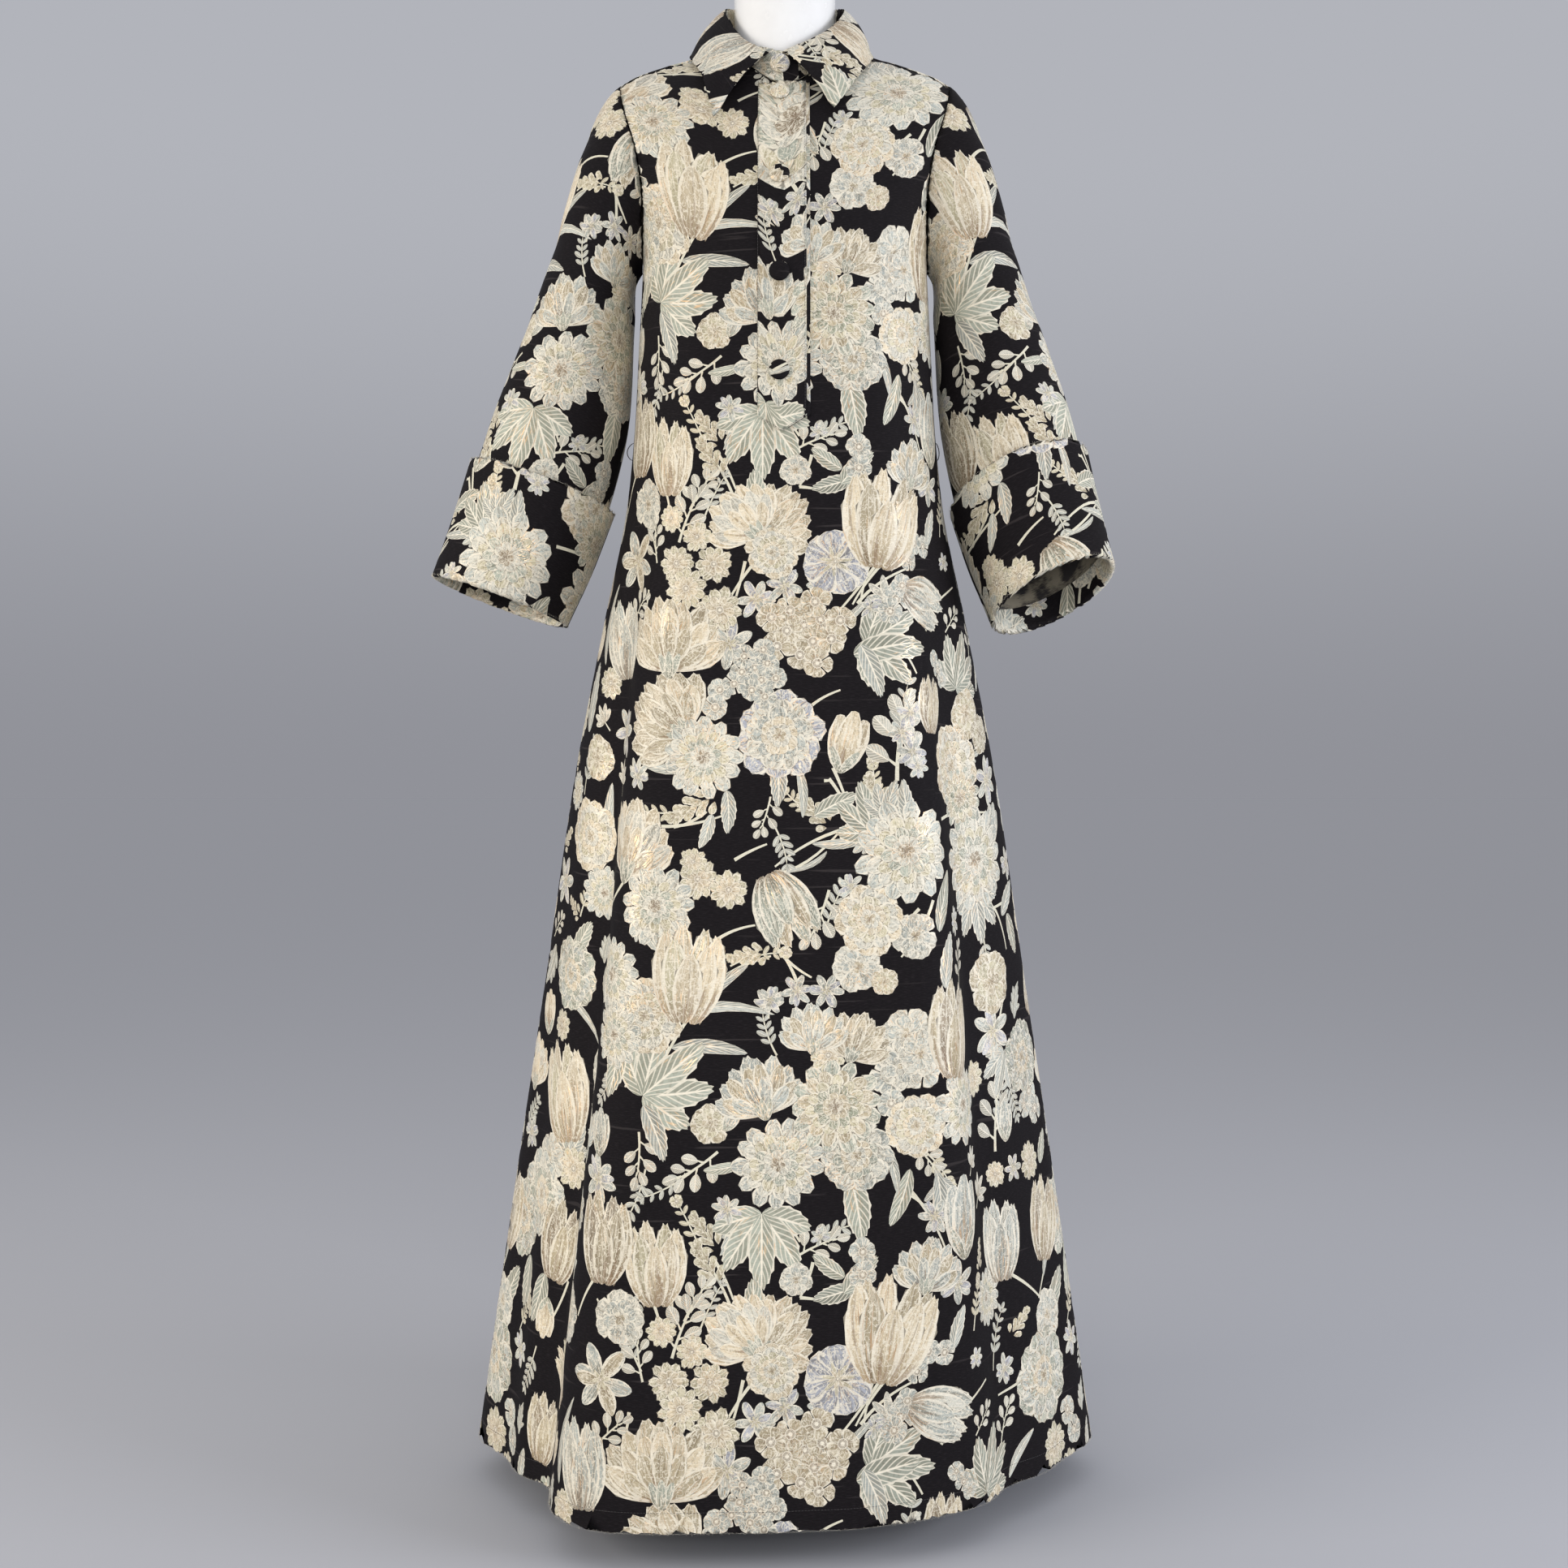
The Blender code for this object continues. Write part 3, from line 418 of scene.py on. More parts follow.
def lay_flat(points, centre=None, mirror=False, rounds=3):
    """Where each point of the grid lies on the flat cloth: across from the centre column, and up
    from the first row. Each round lets the rows bow and the columns lean."""
    rows, columns = points.shape[:2]
    centre = columns // 2 if centre is None else centre
    across = np.linalg.norm(np.diff(points, axis=1), axis=2)
    up = np.linalg.norm(np.diff(points, axis=0), axis=2)
    u = np.concatenate([np.zeros((rows, 1)), np.cumsum(across, axis=1)], axis=1)
    u -= u[:, centre : centre + 1]
    v = np.concatenate([np.zeros((1, columns)), np.cumsum(up, axis=0)])
    for _ in range(rounds):
        rise = np.sqrt(np.maximum(up**2 - np.diff(u, axis=0) ** 2, (0.5 * up) ** 2))
        v[1:] = np.cumsum(rise, axis=0)
        step = np.sqrt(np.maximum(across**2 - np.diff(v, axis=1) ** 2, (0.4 * across) ** 2))
        u = np.concatenate([np.zeros((rows, 1)), np.cumsum(step, axis=1)], axis=1)
        u -= u[:, centre : centre + 1]
    return np.stack([-u if mirror else u, v], axis=-1)


def relaxed(points, flat, rounds):
    """The layout eased until every edge of the grid is as long flat as it is in space."""
    every, low, high = slice(None), slice(None, -1), slice(1, None)
    ends = (
        ((every, low), (every, high)),
        ((low, every), (high, every)),
        ((low, low), (high, high)),
        ((low, high), (high, low)),
    )
    lengths = [np.linalg.norm(points[b] - points[a], axis=-1) for a, b in ends]
    for _ in range(rounds):
        pull = np.zeros_like(flat)
        for (a, b), length in zip(ends, lengths):
            way = flat[b] - flat[a]
            now = np.maximum(np.linalg.norm(way, axis=-1), 1e-9)
            part = way * ((now - length) / now)[..., None]
            pull[a] += part
            pull[b] -= part
        flat = flat + pull / EASE_PACE
    return flat


def spaced(steps, spacing):
    """Which rows or columns to keep, about this far apart, with every one where they are close."""
    keep, run = [0], 0.0
    for i, step in enumerate(steps, start=1):
        run += step
        if run >= spacing or step < CLOSE_ROWS or i == len(steps):
            keep.append(i)
            run = 0.0
    return np.array(keep)


class FlatCloth:
    """A piece's grid of points in space, with where each lies on the flat cloth."""

    def __init__(self, points, flat, middle=None):
        self.points, self.flat = points, flat
        self.normals = outward_normals(points, middle)
        rows, columns = points.shape[:2]
        index = np.arange(rows * columns).reshape(rows, columns)
        low, high = index[:-1], index[1:]
        self.triangles = np.concatenate(
            [
                np.stack([low[:, :-1], low[:, 1:], high[:, 1:]], axis=-1).reshape(-1, 3),
                np.stack([low[:, :-1], high[:, 1:], high[:, :-1]], axis=-1).reshape(-1, 3),
            ]
        )
        spread = np.concatenate([flat.reshape(-1, 2), np.zeros((rows * columns, 1))], axis=1)
        self.finder = BVHTree.FromPolygons(spread.tolist(), self.triangles.tolist())

    def border(self, keep_rows, keep_columns):
        flat = self.flat
        return np.concatenate(
            [
                flat[0, keep_columns],
                flat[keep_rows[1:], -1],
                flat[-1, keep_columns[::-1][1:]],
                flat[keep_rows[::-1][1:-1], 0],
            ]
        )

    def place(self, spots):
        """Points and normals in space of spots on the flat cloth."""
        found = [self.finder.find_nearest((u, v, 0.0)) for u, v in spots]
        triangle = self.triangles[[hit[2] for hit in found]]
        at = np.array([hit[0][:2] for hit in found])
        flat = self.flat.reshape(-1, 2)
        a, b, c = (flat[triangle[:, k]] for k in range(3))
        area = cross(b - a, c - a)
        area = np.where(np.abs(area) < 1e-14, 1e-14, area)
        share_b = cross(at - a, c - a) / area
        share_c = cross(b - a, at - a) / area
        shares = np.clip(np.stack([1 - share_b - share_c, share_b, share_c], axis=-1), 0, 1)
        shares /= shares.sum(axis=1, keepdims=True)
        corners = (values.reshape(-1, 3)[triangle] for values in (self.points, self.normals))
        points, normals = ((values * shares[..., None]).sum(axis=1) for values in corners)
        return points, unit(normals)


def cross(a, b):
    return a[..., 0] * b[..., 1] - a[..., 1] * b[..., 0]


def facing(points, triangles, normals):
    """The triangles, all turned over if they face against the normals."""
    a, b, c = (points[triangles[:, k]] for k in range(3))
    against = (np.cross(b - a, c - a) * normals[triangles[:, 0]]).sum() < 0
    return triangles[:, ::-1] if against else triangles


def seams_between(triangles, tops):
    """The edges where two different shapes, or a shape and the piece's border, meet."""
    edges = np.sort(np.concatenate([triangles[:, ends] for ends in ([0, 1], [1, 2], [2, 0])]), axis=1)
    owner = np.tile(tops, 3)
    order = np.lexsort((owner, edges[:, 1], edges[:, 0]))
    edges, owner = edges[order], owner[order]
    same = np.zeros(len(edges), bool)
    same[1:] = (edges[1:] == edges[:-1]).all(axis=1)
    inner = np.zeros(len(edges), bool)
    pair = np.where(same)[0]
    inner[pair] = inner[pair - 1] = True
    alike = pair[owner[pair] == owner[pair - 1]]
    keep = np.ones(len(edges), bool)
    keep[alike] = keep[alike - 1] = False
    return np.unique(edges[keep], axis=0)


def within(spots, outline):
    """Which spots lie inside the outline."""
    x, y = spots[:, :1], spots[:, 1:]
    (start_x, start_y), (end_x, end_y) = outline.T, np.roll(outline, -1, axis=0).T
    rise = np.where(end_y == start_y, 1e-12, end_y - start_y)
    right = x < start_x + (y - start_y) / rise * (end_x - start_x)
    turns = (end_y > y).astype(int) - (start_y > y)
    return (turns * right).sum(axis=1) != 0


def tops_of(spots, border, shapes):
    """The number of the uppermost shape at each spot: 0 is bare ground, and -1 off the piece."""
    tops = np.where(within(spots, border), 0, -1)
    order = np.argsort(spots[:, 0])
    across = spots[order, 0]
    for number, shape in enumerate(shapes, start=1):
        low, high = shape["outline"].min(axis=0), shape["outline"].max(axis=0)
        near = order[np.searchsorted(across, low[0]) : np.searchsorted(across, high[0])]
        near = near[(spots[near, 1] > low[1]) & (spots[near, 1] < high[1]) & (tops[near] >= 0)]
        tops[near[within(spots[near], shape["outline"])]] = number
    return tops


def on_piece(flat, triangles, border, shapes):
    """The triangles that lie on the piece, with the number of the uppermost shape in each."""
    tops = tops_of(flat[triangles].mean(axis=1), border, shapes)
    return triangles[tops >= 0], tops[tops >= 0]


def triangulated(spots, edges):
    """Triangles over the spots that keep to the edges, with new spots where edges cross."""
    spots = [Vector(spot) for spot in spots]
    found, _, triangles, _, _, _ = geometry.delaunay_2d_cdt(spots, edges, [], 0, CUT_EXACT)
    return np.array([tuple(spot) for spot in found]), np.array(triangles)


def woven(name, cloth, spacing, shift, more=()):
    """The mesh of a cloth piece. shift is where the piece's flat origin lies in the repeat."""
    rows = spaced(np.median(np.linalg.norm(np.diff(cloth.points, axis=0), axis=2), axis=1), spacing)
    columns = spaced(np.median(np.linalg.norm(np.diff(cloth.points, axis=1), axis=2), axis=0), spacing)
    border = cloth.border(rows, columns)
    if cross(border, np.roll(border, -1, axis=0)).sum() < 0:
        border = border[::-1]
    shapes = repeat_over(cloth, np.array(shift)) + list(more)
    outlines = [border] + [shape["outline"] for shape in shapes]
    edges, start = [], 0
    for outline in outlines:
        count = len(outline)
        edges += [(start + i, start + (i + 1) % count) for i in range(count)]
        start += count
    flat, triangles = triangulated(np.concatenate(outlines), edges)
    triangles, tops = on_piece(flat, triangles, border, shapes)
    used, edges = np.unique(seams_between(triangles, tops), return_inverse=True)
    inner = cloth.flat[rows[1:-1]][:, columns[1:-1]].reshape(-1, 2)
    flat, triangles = triangulated(np.concatenate([flat[used], inner]), edges.reshape(-1, 2).tolist())
    triangles, tops = on_piece(flat, triangles, border, shapes)
    used, triangles = np.unique(triangles, return_inverse=True)
    flat, triangles = flat[used], triangles.reshape(-1, 3)
    points, normals = cloth.place(flat)
    triangles = facing(points, triangles, normals)
    corners = shape_coordinates(flat[triangles], tops, shapes)
    corners["flat"] = flat[triangles]
    obj = mesh_of(name, points, triangles, normals)
    for label, values in corners.items():
        if label == "flat":
            obj.data.uv_layers.new(name=label).uv.foreach_set("vector", values.ravel())
        else:
            held = obj.data.attributes.new(label, "FLOAT_VECTOR", "CORNER").data
            held.foreach_set("vector", values.ravel())
    return obj


def wrong_side(name, cloth):
    """The back of the cloth, as a coarse sheet of its own just inside the right side."""
    points, normals = cloth.points.reshape(-1, 3), -cloth.normals.reshape(-1, 3)
    triangles = facing(points, cloth.triangles, normals)
    obj = mesh_of(name, points, triangles, normals)
    obj.data.uv_layers.new(name="flat").uv.foreach_set("vector", cloth.flat.reshape(-1, 2)[triangles].ravel())
    return finished(obj, WRONG_SIDE)


def mesh_of(name, points, triangles, normals):
    mesh = bpy.data.meshes.new(name)
    mesh.vertices.add(len(points))
    mesh.vertices.foreach_set("co", points.ravel())
    mesh.loops.add(3 * len(triangles))
    mesh.loops.foreach_set("vertex_index", triangles.ravel())
    mesh.polygons.add(len(triangles))
    mesh.polygons.foreach_set("loop_start", np.arange(0, 3 * len(triangles), 3))
    mesh.update(calc_edges=True)
    mesh.shade_smooth()
    mesh.normals_split_custom_set_from_vertices(normals.tolist())
    return linked(name, mesh)


def shape_coordinates(flat, tops, shapes):
    """For each corner: across and along its petal, and the petal's form, seed, kind and dye."""
    count = len(shapes) + 1
    origin, axis = np.zeros((count, 2)), np.tile([0.0, 1.0], (count, 1))
    half, length, bend = np.ones(count), np.ones(count), np.zeros(count)
    facts, dyes = np.zeros((count, 4)), np.zeros((count, 3))
    for i, shape in enumerate(shapes, start=1):
        origin[i], axis[i] = shape["origin"], shape["axis"]
        half[i], length[i], bend[i] = shape["half"], shape["length"], shape["bend"]
        facts[i] = (shape["bulge"], shape["seed"], shape["kind"], shape["burn"])
        dyes[i] = shape["dye"]
    from_base = flat - origin[tops][:, None]
    along = (from_base * axis[tops][:, None]).sum(axis=2) / length[tops][:, None]
    side = np.stack([axis[:, 1], -axis[:, 0]], axis=1)
    across = (from_base * side[tops][:, None]).sum(axis=2)
    across = (across - bend[tops][:, None] * length[tops][:, None] * along**2) / half[tops][:, None]
    petal = np.stack([across, along, np.broadcast_to(facts[tops][:, None, 0], along.shape)], axis=-1)
    weave = np.broadcast_to(facts[tops][:, None, 1:], along.shape + (3,)).copy()
    dye = np.broadcast_to(dyes[tops][:, None], along.shape + (3,)).copy()
    return {"petal": petal, "weave": weave, "dye": dye}


# The woven flowers, drawn on the flat cloth; one repeat holds them all

REPEAT = (0.800, 0.820)
PETAL, LEAF, DISC, STEM = 1, 2, 3, 4
FLOWER_SIZE = 0.93
LEAST_EDGE = 1.5 * MM

# Outside the middle that the chart follows, bare places are filled with flowers of their own size.
CHARTED_HALF_WIDTH = 0.17
FILL_CELL = 0.004
FILL_REACH = 1.8
FILLERS_AT_MOST = 60
FILLERS = (
    (0.034, ("mum_pale", "peony_cream", "tulip", "peony", "fan_cream", "tulip_beige", "mum", "hollyhock")),
    (0.024, ("rose", "star", "tulip", "ragged", "daisy_pale", "bud", "carnation", "lobed_pale")),
    (0.017, ("spray", "star", "catkin", "lily", "carnation", "saw_pale", "ragged")),
)

DYES = {
    "cream": "#D9C9AA",
    "ivory": "#CCC9BA",
    "straw": "#C8BF9F",
    "sage": "#A8AC9C",
    "mist": "#B3B7AE",
    "slate": "#AEB0B7",
    "beige": "#BAAC8E",
    "fawn": "#978870",
    "olive": "#949781",
    "umber": "#6E5646",
}

chance = np.random.default_rng(11)


def linear(code):
    """The linear colour of an sRGB hex value."""
    values = (int(code[i : i + 2], 16) / 255 for i in (1, 3, 5))
    return tuple(v / 12.92 if v <= 0.04045 else ((v + 0.055) / 1.055) ** 2.4 for v in values)


def profile(along, bulge):
    """How wide a petal is at each share of its length; a larger bulge is wider near the tip."""
    return np.sin(np.pi * np.clip(along, 0, 1) ** bulge) ** 0.55


def petal(length, width, bulge=1.4, dye="cream", bend=0.0, teeth=0, depth=0.0, kind=PETAL, burn=0.0):
    steps = max(8, 2 * teeth)
    share = (1 - np.cos(np.pi * np.linspace(0, 1, steps + 1))) / 2
    half = width / 2 * profile(share, bulge)
    up = np.stack([half, share * length], axis=1)
    outline = np.concatenate([up, (up * [-1, 1])[::-1][1:-1]])
    if teeth:
        out = unit(outline - [0, length * 0.45])
        if kind == LEAF:
            out = unit(out + [0, 0.5])
        toothed_from = 0.12 if kind == LEAF else 0.45
        notch = (np.arange(len(outline)) % 2) * smooth(outline[:, 1] / length, toothed_from, 0.7)
        outline = outline + out * (notch * depth * length)[:, None]
    outline[:, 0] += bend * length * (outline[:, 1] / length) ** 2
    shade = float(chance.uniform(0.84, 1.10))
    return {
        "outline": outline,
        "origin": np.zeros(2),
        "axis": np.array([0.0, 1.0]),
        "half": width / 2,
        "length": length,
        "bend": bend,
        "bulge": bulge,
        "seed": float(chance.uniform(0, 50)),
        "kind": kind,
        "burn": burn,
        "dye": np.array(linear(DYES[dye])) * shade,
    }


def placed(shapes, x=0.0, y=0.0, turn=0.0, scale=1.0):
    """Copies of the shapes, scaled, turned clockwise and moved."""
    angle = math.radians(turn)
    spin = np.array([[math.cos(angle), -math.sin(angle)], [math.sin(angle), math.cos(angle)]])
    moved = []
    for shape in shapes:
        copy = dict(shape)
        copy["outline"] = (shape["outline"] * scale) @ spin + (x, y)
        copy["origin"] = (shape["origin"] * scale) @ spin + (x, y)
        copy["axis"] = shape["axis"] @ spin
        copy["half"], copy["length"] = shape["half"] * scale, shape["length"] * scale
        moved.append(copy)
    return moved


# Round flowers by ring, from the outside in, as shares of the flower's width: how many petals,
# where they start, their length and width, bulge, teeth, how deep those are, dye and how brown
# the base is. A disc has no count.
RING_COLUMNS = ("count", "start", "length", "width", "bulge", "teeth", "depth", "dye", "burn")
ROUND_FLOWERS = {
    "peony": (
        (10, 0.12, 0.38, 0.30, 2.1, 5, 0.060, "mist", 0.1),
        (9, 0.08, 0.33, 0.26, 2.0, 5, 0.065, "ivory", 0.2),
        (9, 0.05, 0.26, 0.21, 1.9, 4, 0.075, "sage", 0.2),
        (8, 0.02, 0.20, 0.17, 1.8, 4, 0.085, "cream", 0.3),
        (6, 0.00, 0.14, 0.13, 1.6, 3, 0.09, "ivory", 0.4),
        (4, 0.00, 0.08, 0.09, 1.4, 3, 0.09, "beige", 0.5),
    ),
    "mum": (
        (13, 0.18, 0.34, 0.18, 1.9, 4, 0.055, "sage", 0.2),
        (12, 0.13, 0.30, 0.17, 1.8, 4, 0.06, "beige", 0.3),
        (11, 0.08, 0.26, 0.15, 1.8, 3, 0.07, "straw", 0.3),
        (9, 0.04, 0.21, 0.14, 1.7, 3, 0.08, "olive", 0.4),
        (7, 0.01, 0.15, 0.12, 1.6, 3, 0.08, "beige", 0.5),
        (5, 0.00, 0.09, 0.09, 1.4, 2, 0.08, "fawn", 0.4),
    ),
    "hollyhock": (
        (8, 0.02, 0.47, 0.44, 2.4, 6, 0.035, "slate", 0.0),
        (7, 0.00, 0.26, 0.055, 1.1, 0, 0.0, "straw", 0.0),
        (6, 0.00, 0.15, 0.045, 1.0, 0, 0.0, "cream", 0.0),
        (0, 0.0, 0.035, 0.07, 1.0, 0, 0.0, "cream", 0.0),
    ),
    "star": (
        (6, 0.02, 0.48, 0.23, 1.1, 0, 0.0, "mist", 0.1),
        (3, 0.02, 0.46, 0.19, 1.1, 0, 0.0, "slate", 0.1),
        (6, 0.00, 0.16, 0.06, 1.0, 0, 0.0, "straw", 0.2),
        (0, 0.0, 0.03, 0.06, 1.0, 0, 0.0, "cream", 0.0),
    ),
    "primrose": (
        (5, 0.03, 0.46, 0.50, 2.1, 3, 0.07, "beige", 0.5),
        (0, 0.0, 0.17, 0.34, 1.0, 0, 0.0, "cream", 0.0),
    ),
    "daisy": (
        (10, 0.08, 0.42, 0.24, 1.8, 4, 0.10, "cream", 0.3),
        (8, 0.03, 0.29, 0.20, 1.7, 3, 0.10, "straw", 0.4),
        (0, 0.0, 0.09, 0.18, 1.0, 0, 0.0, "fawn", 0.0),
    ),
    "rose": (
        (7, 0.07, 0.42, 0.40, 2.1, 5, 0.06, "ivory", 0.1),
        (6, 0.03, 0.32, 0.31, 2.0, 4, 0.07, "mist", 0.2),
        (4, 0.01, 0.21, 0.22, 1.7, 0, 0.0, "ivory", 0.3),
        (3, 0.00, 0.12, 0.14, 1.5, 0, 0.0, "beige", 0.4),
    ),
}


def disc(radius, dye):
    around = np.linspace(0, 2 * math.pi, 12, endpoint=False)
    shape = petal(2 * radius, 2 * radius, dye=dye, kind=DISC)
    shape["outline"] = np.stack([np.cos(around), np.sin(around)], axis=1) * radius
    shape["half"] = shape["length"] = radius
    return shape


def round_flower(name, redye=None):
    shapes = []
    for row in ROUND_FLOWERS[name]:
        ring = dict(zip(RING_COLUMNS, row))
        dye = (redye or {}).get(ring["dye"], ring["dye"])
        if not ring["count"]:
            shapes.append(disc(ring["length"], dye))
            continue
        step = 360 / ring["count"]
        first = float(chance.uniform(0, step))
        for i in range(ring["count"]):
            length = ring["length"] * float(chance.uniform(0.90, 1.06))
            turn = first + step * (i + float(chance.uniform(-0.13, 0.13)))
            one = petal(
                length,
                ring["width"] * float(chance.uniform(0.92, 1.08)),
                ring["bulge"],
                dye,
                bend=float(chance.uniform(-0.10, 0.10)),
                teeth=ring["teeth"],
                depth=ring["depth"],
                burn=ring["burn"],
            )
            angle = math.radians(turn)
            start = ring["start"]
            shapes += placed([one], math.sin(angle) * start, math.cos(angle) * start, turn)
    return shapes


def tulip(dye="cream", inner="straw", open_by=1.0):
    """A tulip that stands on its base, one unit high."""
    rows = (
        (-0.16, -9, 0.93, 0.24, 1.55, inner, 0.04),
        (0.16, 9, 0.90, 0.24, 1.55, inner, -0.04),
        (-0.05, -3, 1.00, 0.24, 1.50, dye, 0.00),
        (0.07, 4, 0.96, 0.24, 1.50, inner, 0.00),
        (-0.09, -23, 0.90, 0.30, 1.05, dye, 0.20),
        (0.09, 23, 0.88, 0.30, 1.05, dye, -0.20),
        (-0.06, -10, 0.84, 0.28, 1.10, inner, 0.03),
        (0.07, 11, 0.80, 0.28, 1.10, dye, -0.04),
        (0.00, 0, 0.70, 0.30, 0.95, dye, 0.01),
    )
    shapes = []
    for x, turn, length, width, bulge, tint, bend in rows:
        one = petal(length, width, bulge, tint, bend=bend, teeth=7, depth=0.045, burn=0.6)
        shapes += placed([one], x, 0.0, turn * open_by)
    return shapes


def fan(dye="beige", inner="cream", count=9, spread=72):
    """A carnation seen from the side: fringed petals that fan out from a calyx."""
    shapes = []
    for reach, width, tint in ((0.92, 0.30, dye), (0.80, 0.26, inner), (0.62, 0.22, dye)):
        angles = np.linspace(-spread, spread, count) * (0.6 + 0.4 * reach)
        order = np.argsort(-np.abs(angles), kind="stable")
        for i in order:
            one = petal(
                reach * (1 - 0.16 * (abs(angles[i]) / spread) ** 2) * float(chance.uniform(0.94, 1.04)),
                width,
                1.75,
                tint,
                bend=float(-0.10 * np.sign(angles[i])),
                teeth=6,
                depth=0.035,
                burn=0.8,
            )
            shapes += placed([one], 0.0, 0.0, float(angles[i]))
        count -= 2
    for turn in (-24, 24, 0):
        shapes += placed([petal(0.34, 0.13, 0.9, "sage")], 0.0, -0.08, turn)
    return shapes


def bud(dye="cream"):
    shapes = []
    for turn, length, width in ((-14, 0.92, 0.42), (14, 0.92, 0.42), (0, 1.0, 0.44)):
        shapes += placed([petal(length, width, 0.85, dye, teeth=3, depth=0.02, burn=0.7)], turn=turn)
    for turn in (-30, 30):
        shapes += placed([petal(0.46, 0.16, 1.0, "sage")], 0.0, -0.04, turn)
    return shapes


def cluster(count=12, each=0.32, redye=None):
    """Many small primroses in a round head."""
    shapes = []
    for k in range(count):
        reach = 0.40 * math.sqrt((k + 0.35) / count)
        turn = 137.5 * k
        spot = (reach * math.sin(math.radians(turn)), reach * math.cos(math.radians(turn)))
        shapes += placed(round_flower("primrose", redye), *spot, turn=turn * 0.3, scale=each)
    return shapes


def long_leaf(width=0.20, bend=0.25, dye="mist"):
    return [petal(1.0, width, 0.95, dye, bend=bend, kind=LEAF)]


def saw_leaf(width=0.42, bend=0.08, dye="sage"):
    return [petal(1.0, width, 0.85, dye, bend=bend, teeth=9, depth=0.045, kind=LEAF)]


def lobed_leaf(dye="sage"):
    shapes, spread = [], 78
    angles = np.linspace(-spread, spread, 5)
    for angle in sorted(angles, key=lambda a: -abs(a)):
        length = 0.98 - 0.30 * (abs(angle) / spread) ** 1.5
        bend = -0.08 * float(np.sign(angle))
        one = petal(length, 0.36, 0.95, dye, bend=bend, teeth=7, depth=0.05, kind=LEAF)
        one["dye"] = np.array(linear(DYES[dye])) * float(chance.uniform(0.97, 1.02))
        shapes += placed([one], 0.0, 0.0, float(angle))
    return shapes


def stalk(length, bend=0.2, width=0.0032, dye="ivory"):
    """A thin stem from the origin up, as a narrow band along a bent line."""
    share = np.linspace(0, 1, 9)
    line = np.stack([bend * length * share**2, length * share], axis=1)
    way = unit(np.gradient(line, axis=0))
    side = np.stack([way[:, 1], -way[:, 0]], axis=1) * width / 2 * (1.1 - 0.5 * share)[:, None]
    shape = petal(length, 4 * width, dye=dye, bend=bend, kind=STEM)
    shape["outline"] = np.concatenate([line + side, (line - side)[::-1]])
    return [shape]


def sprig(length, bend, leaf, dye, flowers):
    """A little branch with small leaves, or buds, in pairs; in metres."""
    shapes = stalk(length, bend, 0.0018, dye)
    for k in range(5):
        share = 0.30 + 0.66 * k / 4
        x, y = bend * length * share**2, length * share
        lean = -math.degrees(math.atan(2 * bend * share))
        for side in (-1, 1):
            size = leaf * (1.5 - 0.5 * share) * float(chance.uniform(0.85, 1.15))
            one = petal(1.0, 0.42, 1.1, dye, kind=LEAF)
            shapes += placed([one], x, y, side * 48 - lean, size)
    x, y = bend * length, length
    if flowers:
        shapes += placed(round_flower("primrose", {"beige": dye}), x, y, 0, leaf * 1.7)
    else:
        shapes += placed([petal(1.0, 0.5, 1.0, dye)], x, y, math.degrees(math.atan(2 * bend)), leaf * 0.9)
    return shapes


def catkin():
    """A head of many small seeds that narrows to its tip, one unit high."""
    shapes = []
    for k in range(22):
        share = k / 21
        lean = (-46, 34, -12, 52, -30, 12)[k % 6]
        x = lean / 52 * 0.11 * (1 - 0.75 * share)
        one = petal(0.24 * (1 - 0.35 * share), 0.15, 1.5, "straw", burn=0.3)
        shapes += placed([one], x, 0.02 + 0.80 * share, lean * (1 - 0.5 * share))
    return shapes


def spray():
    """A short branch with a few round leaves on stems of their own, one unit high."""
    shapes = stalk(0.95, 0.12, 0.05, "ivory")
    for x, y, turn, length in (
        (0.00, 0.20, -58, 0.36), (0.02, 0.34, 52, 0.34), (0.03, 0.50, -44, 0.36),
        (0.06, 0.64, 50, 0.30), (0.09, 0.74, -22, 0.32), (0.10, 0.84, 20, 0.30),
    ):
        shapes += placed(stalk(length * 0.4, 0.1, 0.04, "ivory"), x, y, turn)
        angle = math.radians(turn)
        reach = length * 0.32
        leaf = petal(length, length * 0.62, 1.25, "ivory", kind=LEAF)
        shapes += placed([leaf], x + math.sin(angle) * reach, y + math.cos(angle) * reach, turn)
    return shapes


def lily():
    """A small flower seen from the side, its narrow petals spread."""
    shapes = stalk(0.5, 0.0, 0.05, "ivory")
    for turn, length in ((-70, 0.5), (68, 0.5), (-36, 0.6), (40, 0.6), (2, 0.62)):
        shapes += placed([petal(length, 0.22, 0.9, "ivory", bend=0.05, burn=0.3)], 0.0, 0.36, turn)
    return shapes


def ragged_leaf():
    """A curled leaf with long points, like a thistle's."""
    shapes = []
    points = ((0.12, -52, 0.42), (0.20, 48, 0.42), (0.34, -44, 0.40), (0.44, 42, 0.36), (0.58, -34, 0.30))
    for y, turn, length in points:
        shapes += placed([petal(length, 0.17, 0.9, "mist", bend=0.2, kind=LEAF)], 0.0, y, turn)
    return shapes + [petal(1.0, 0.30, 0.9, "mist", bend=0.22, teeth=5, depth=0.05, kind=LEAF)]


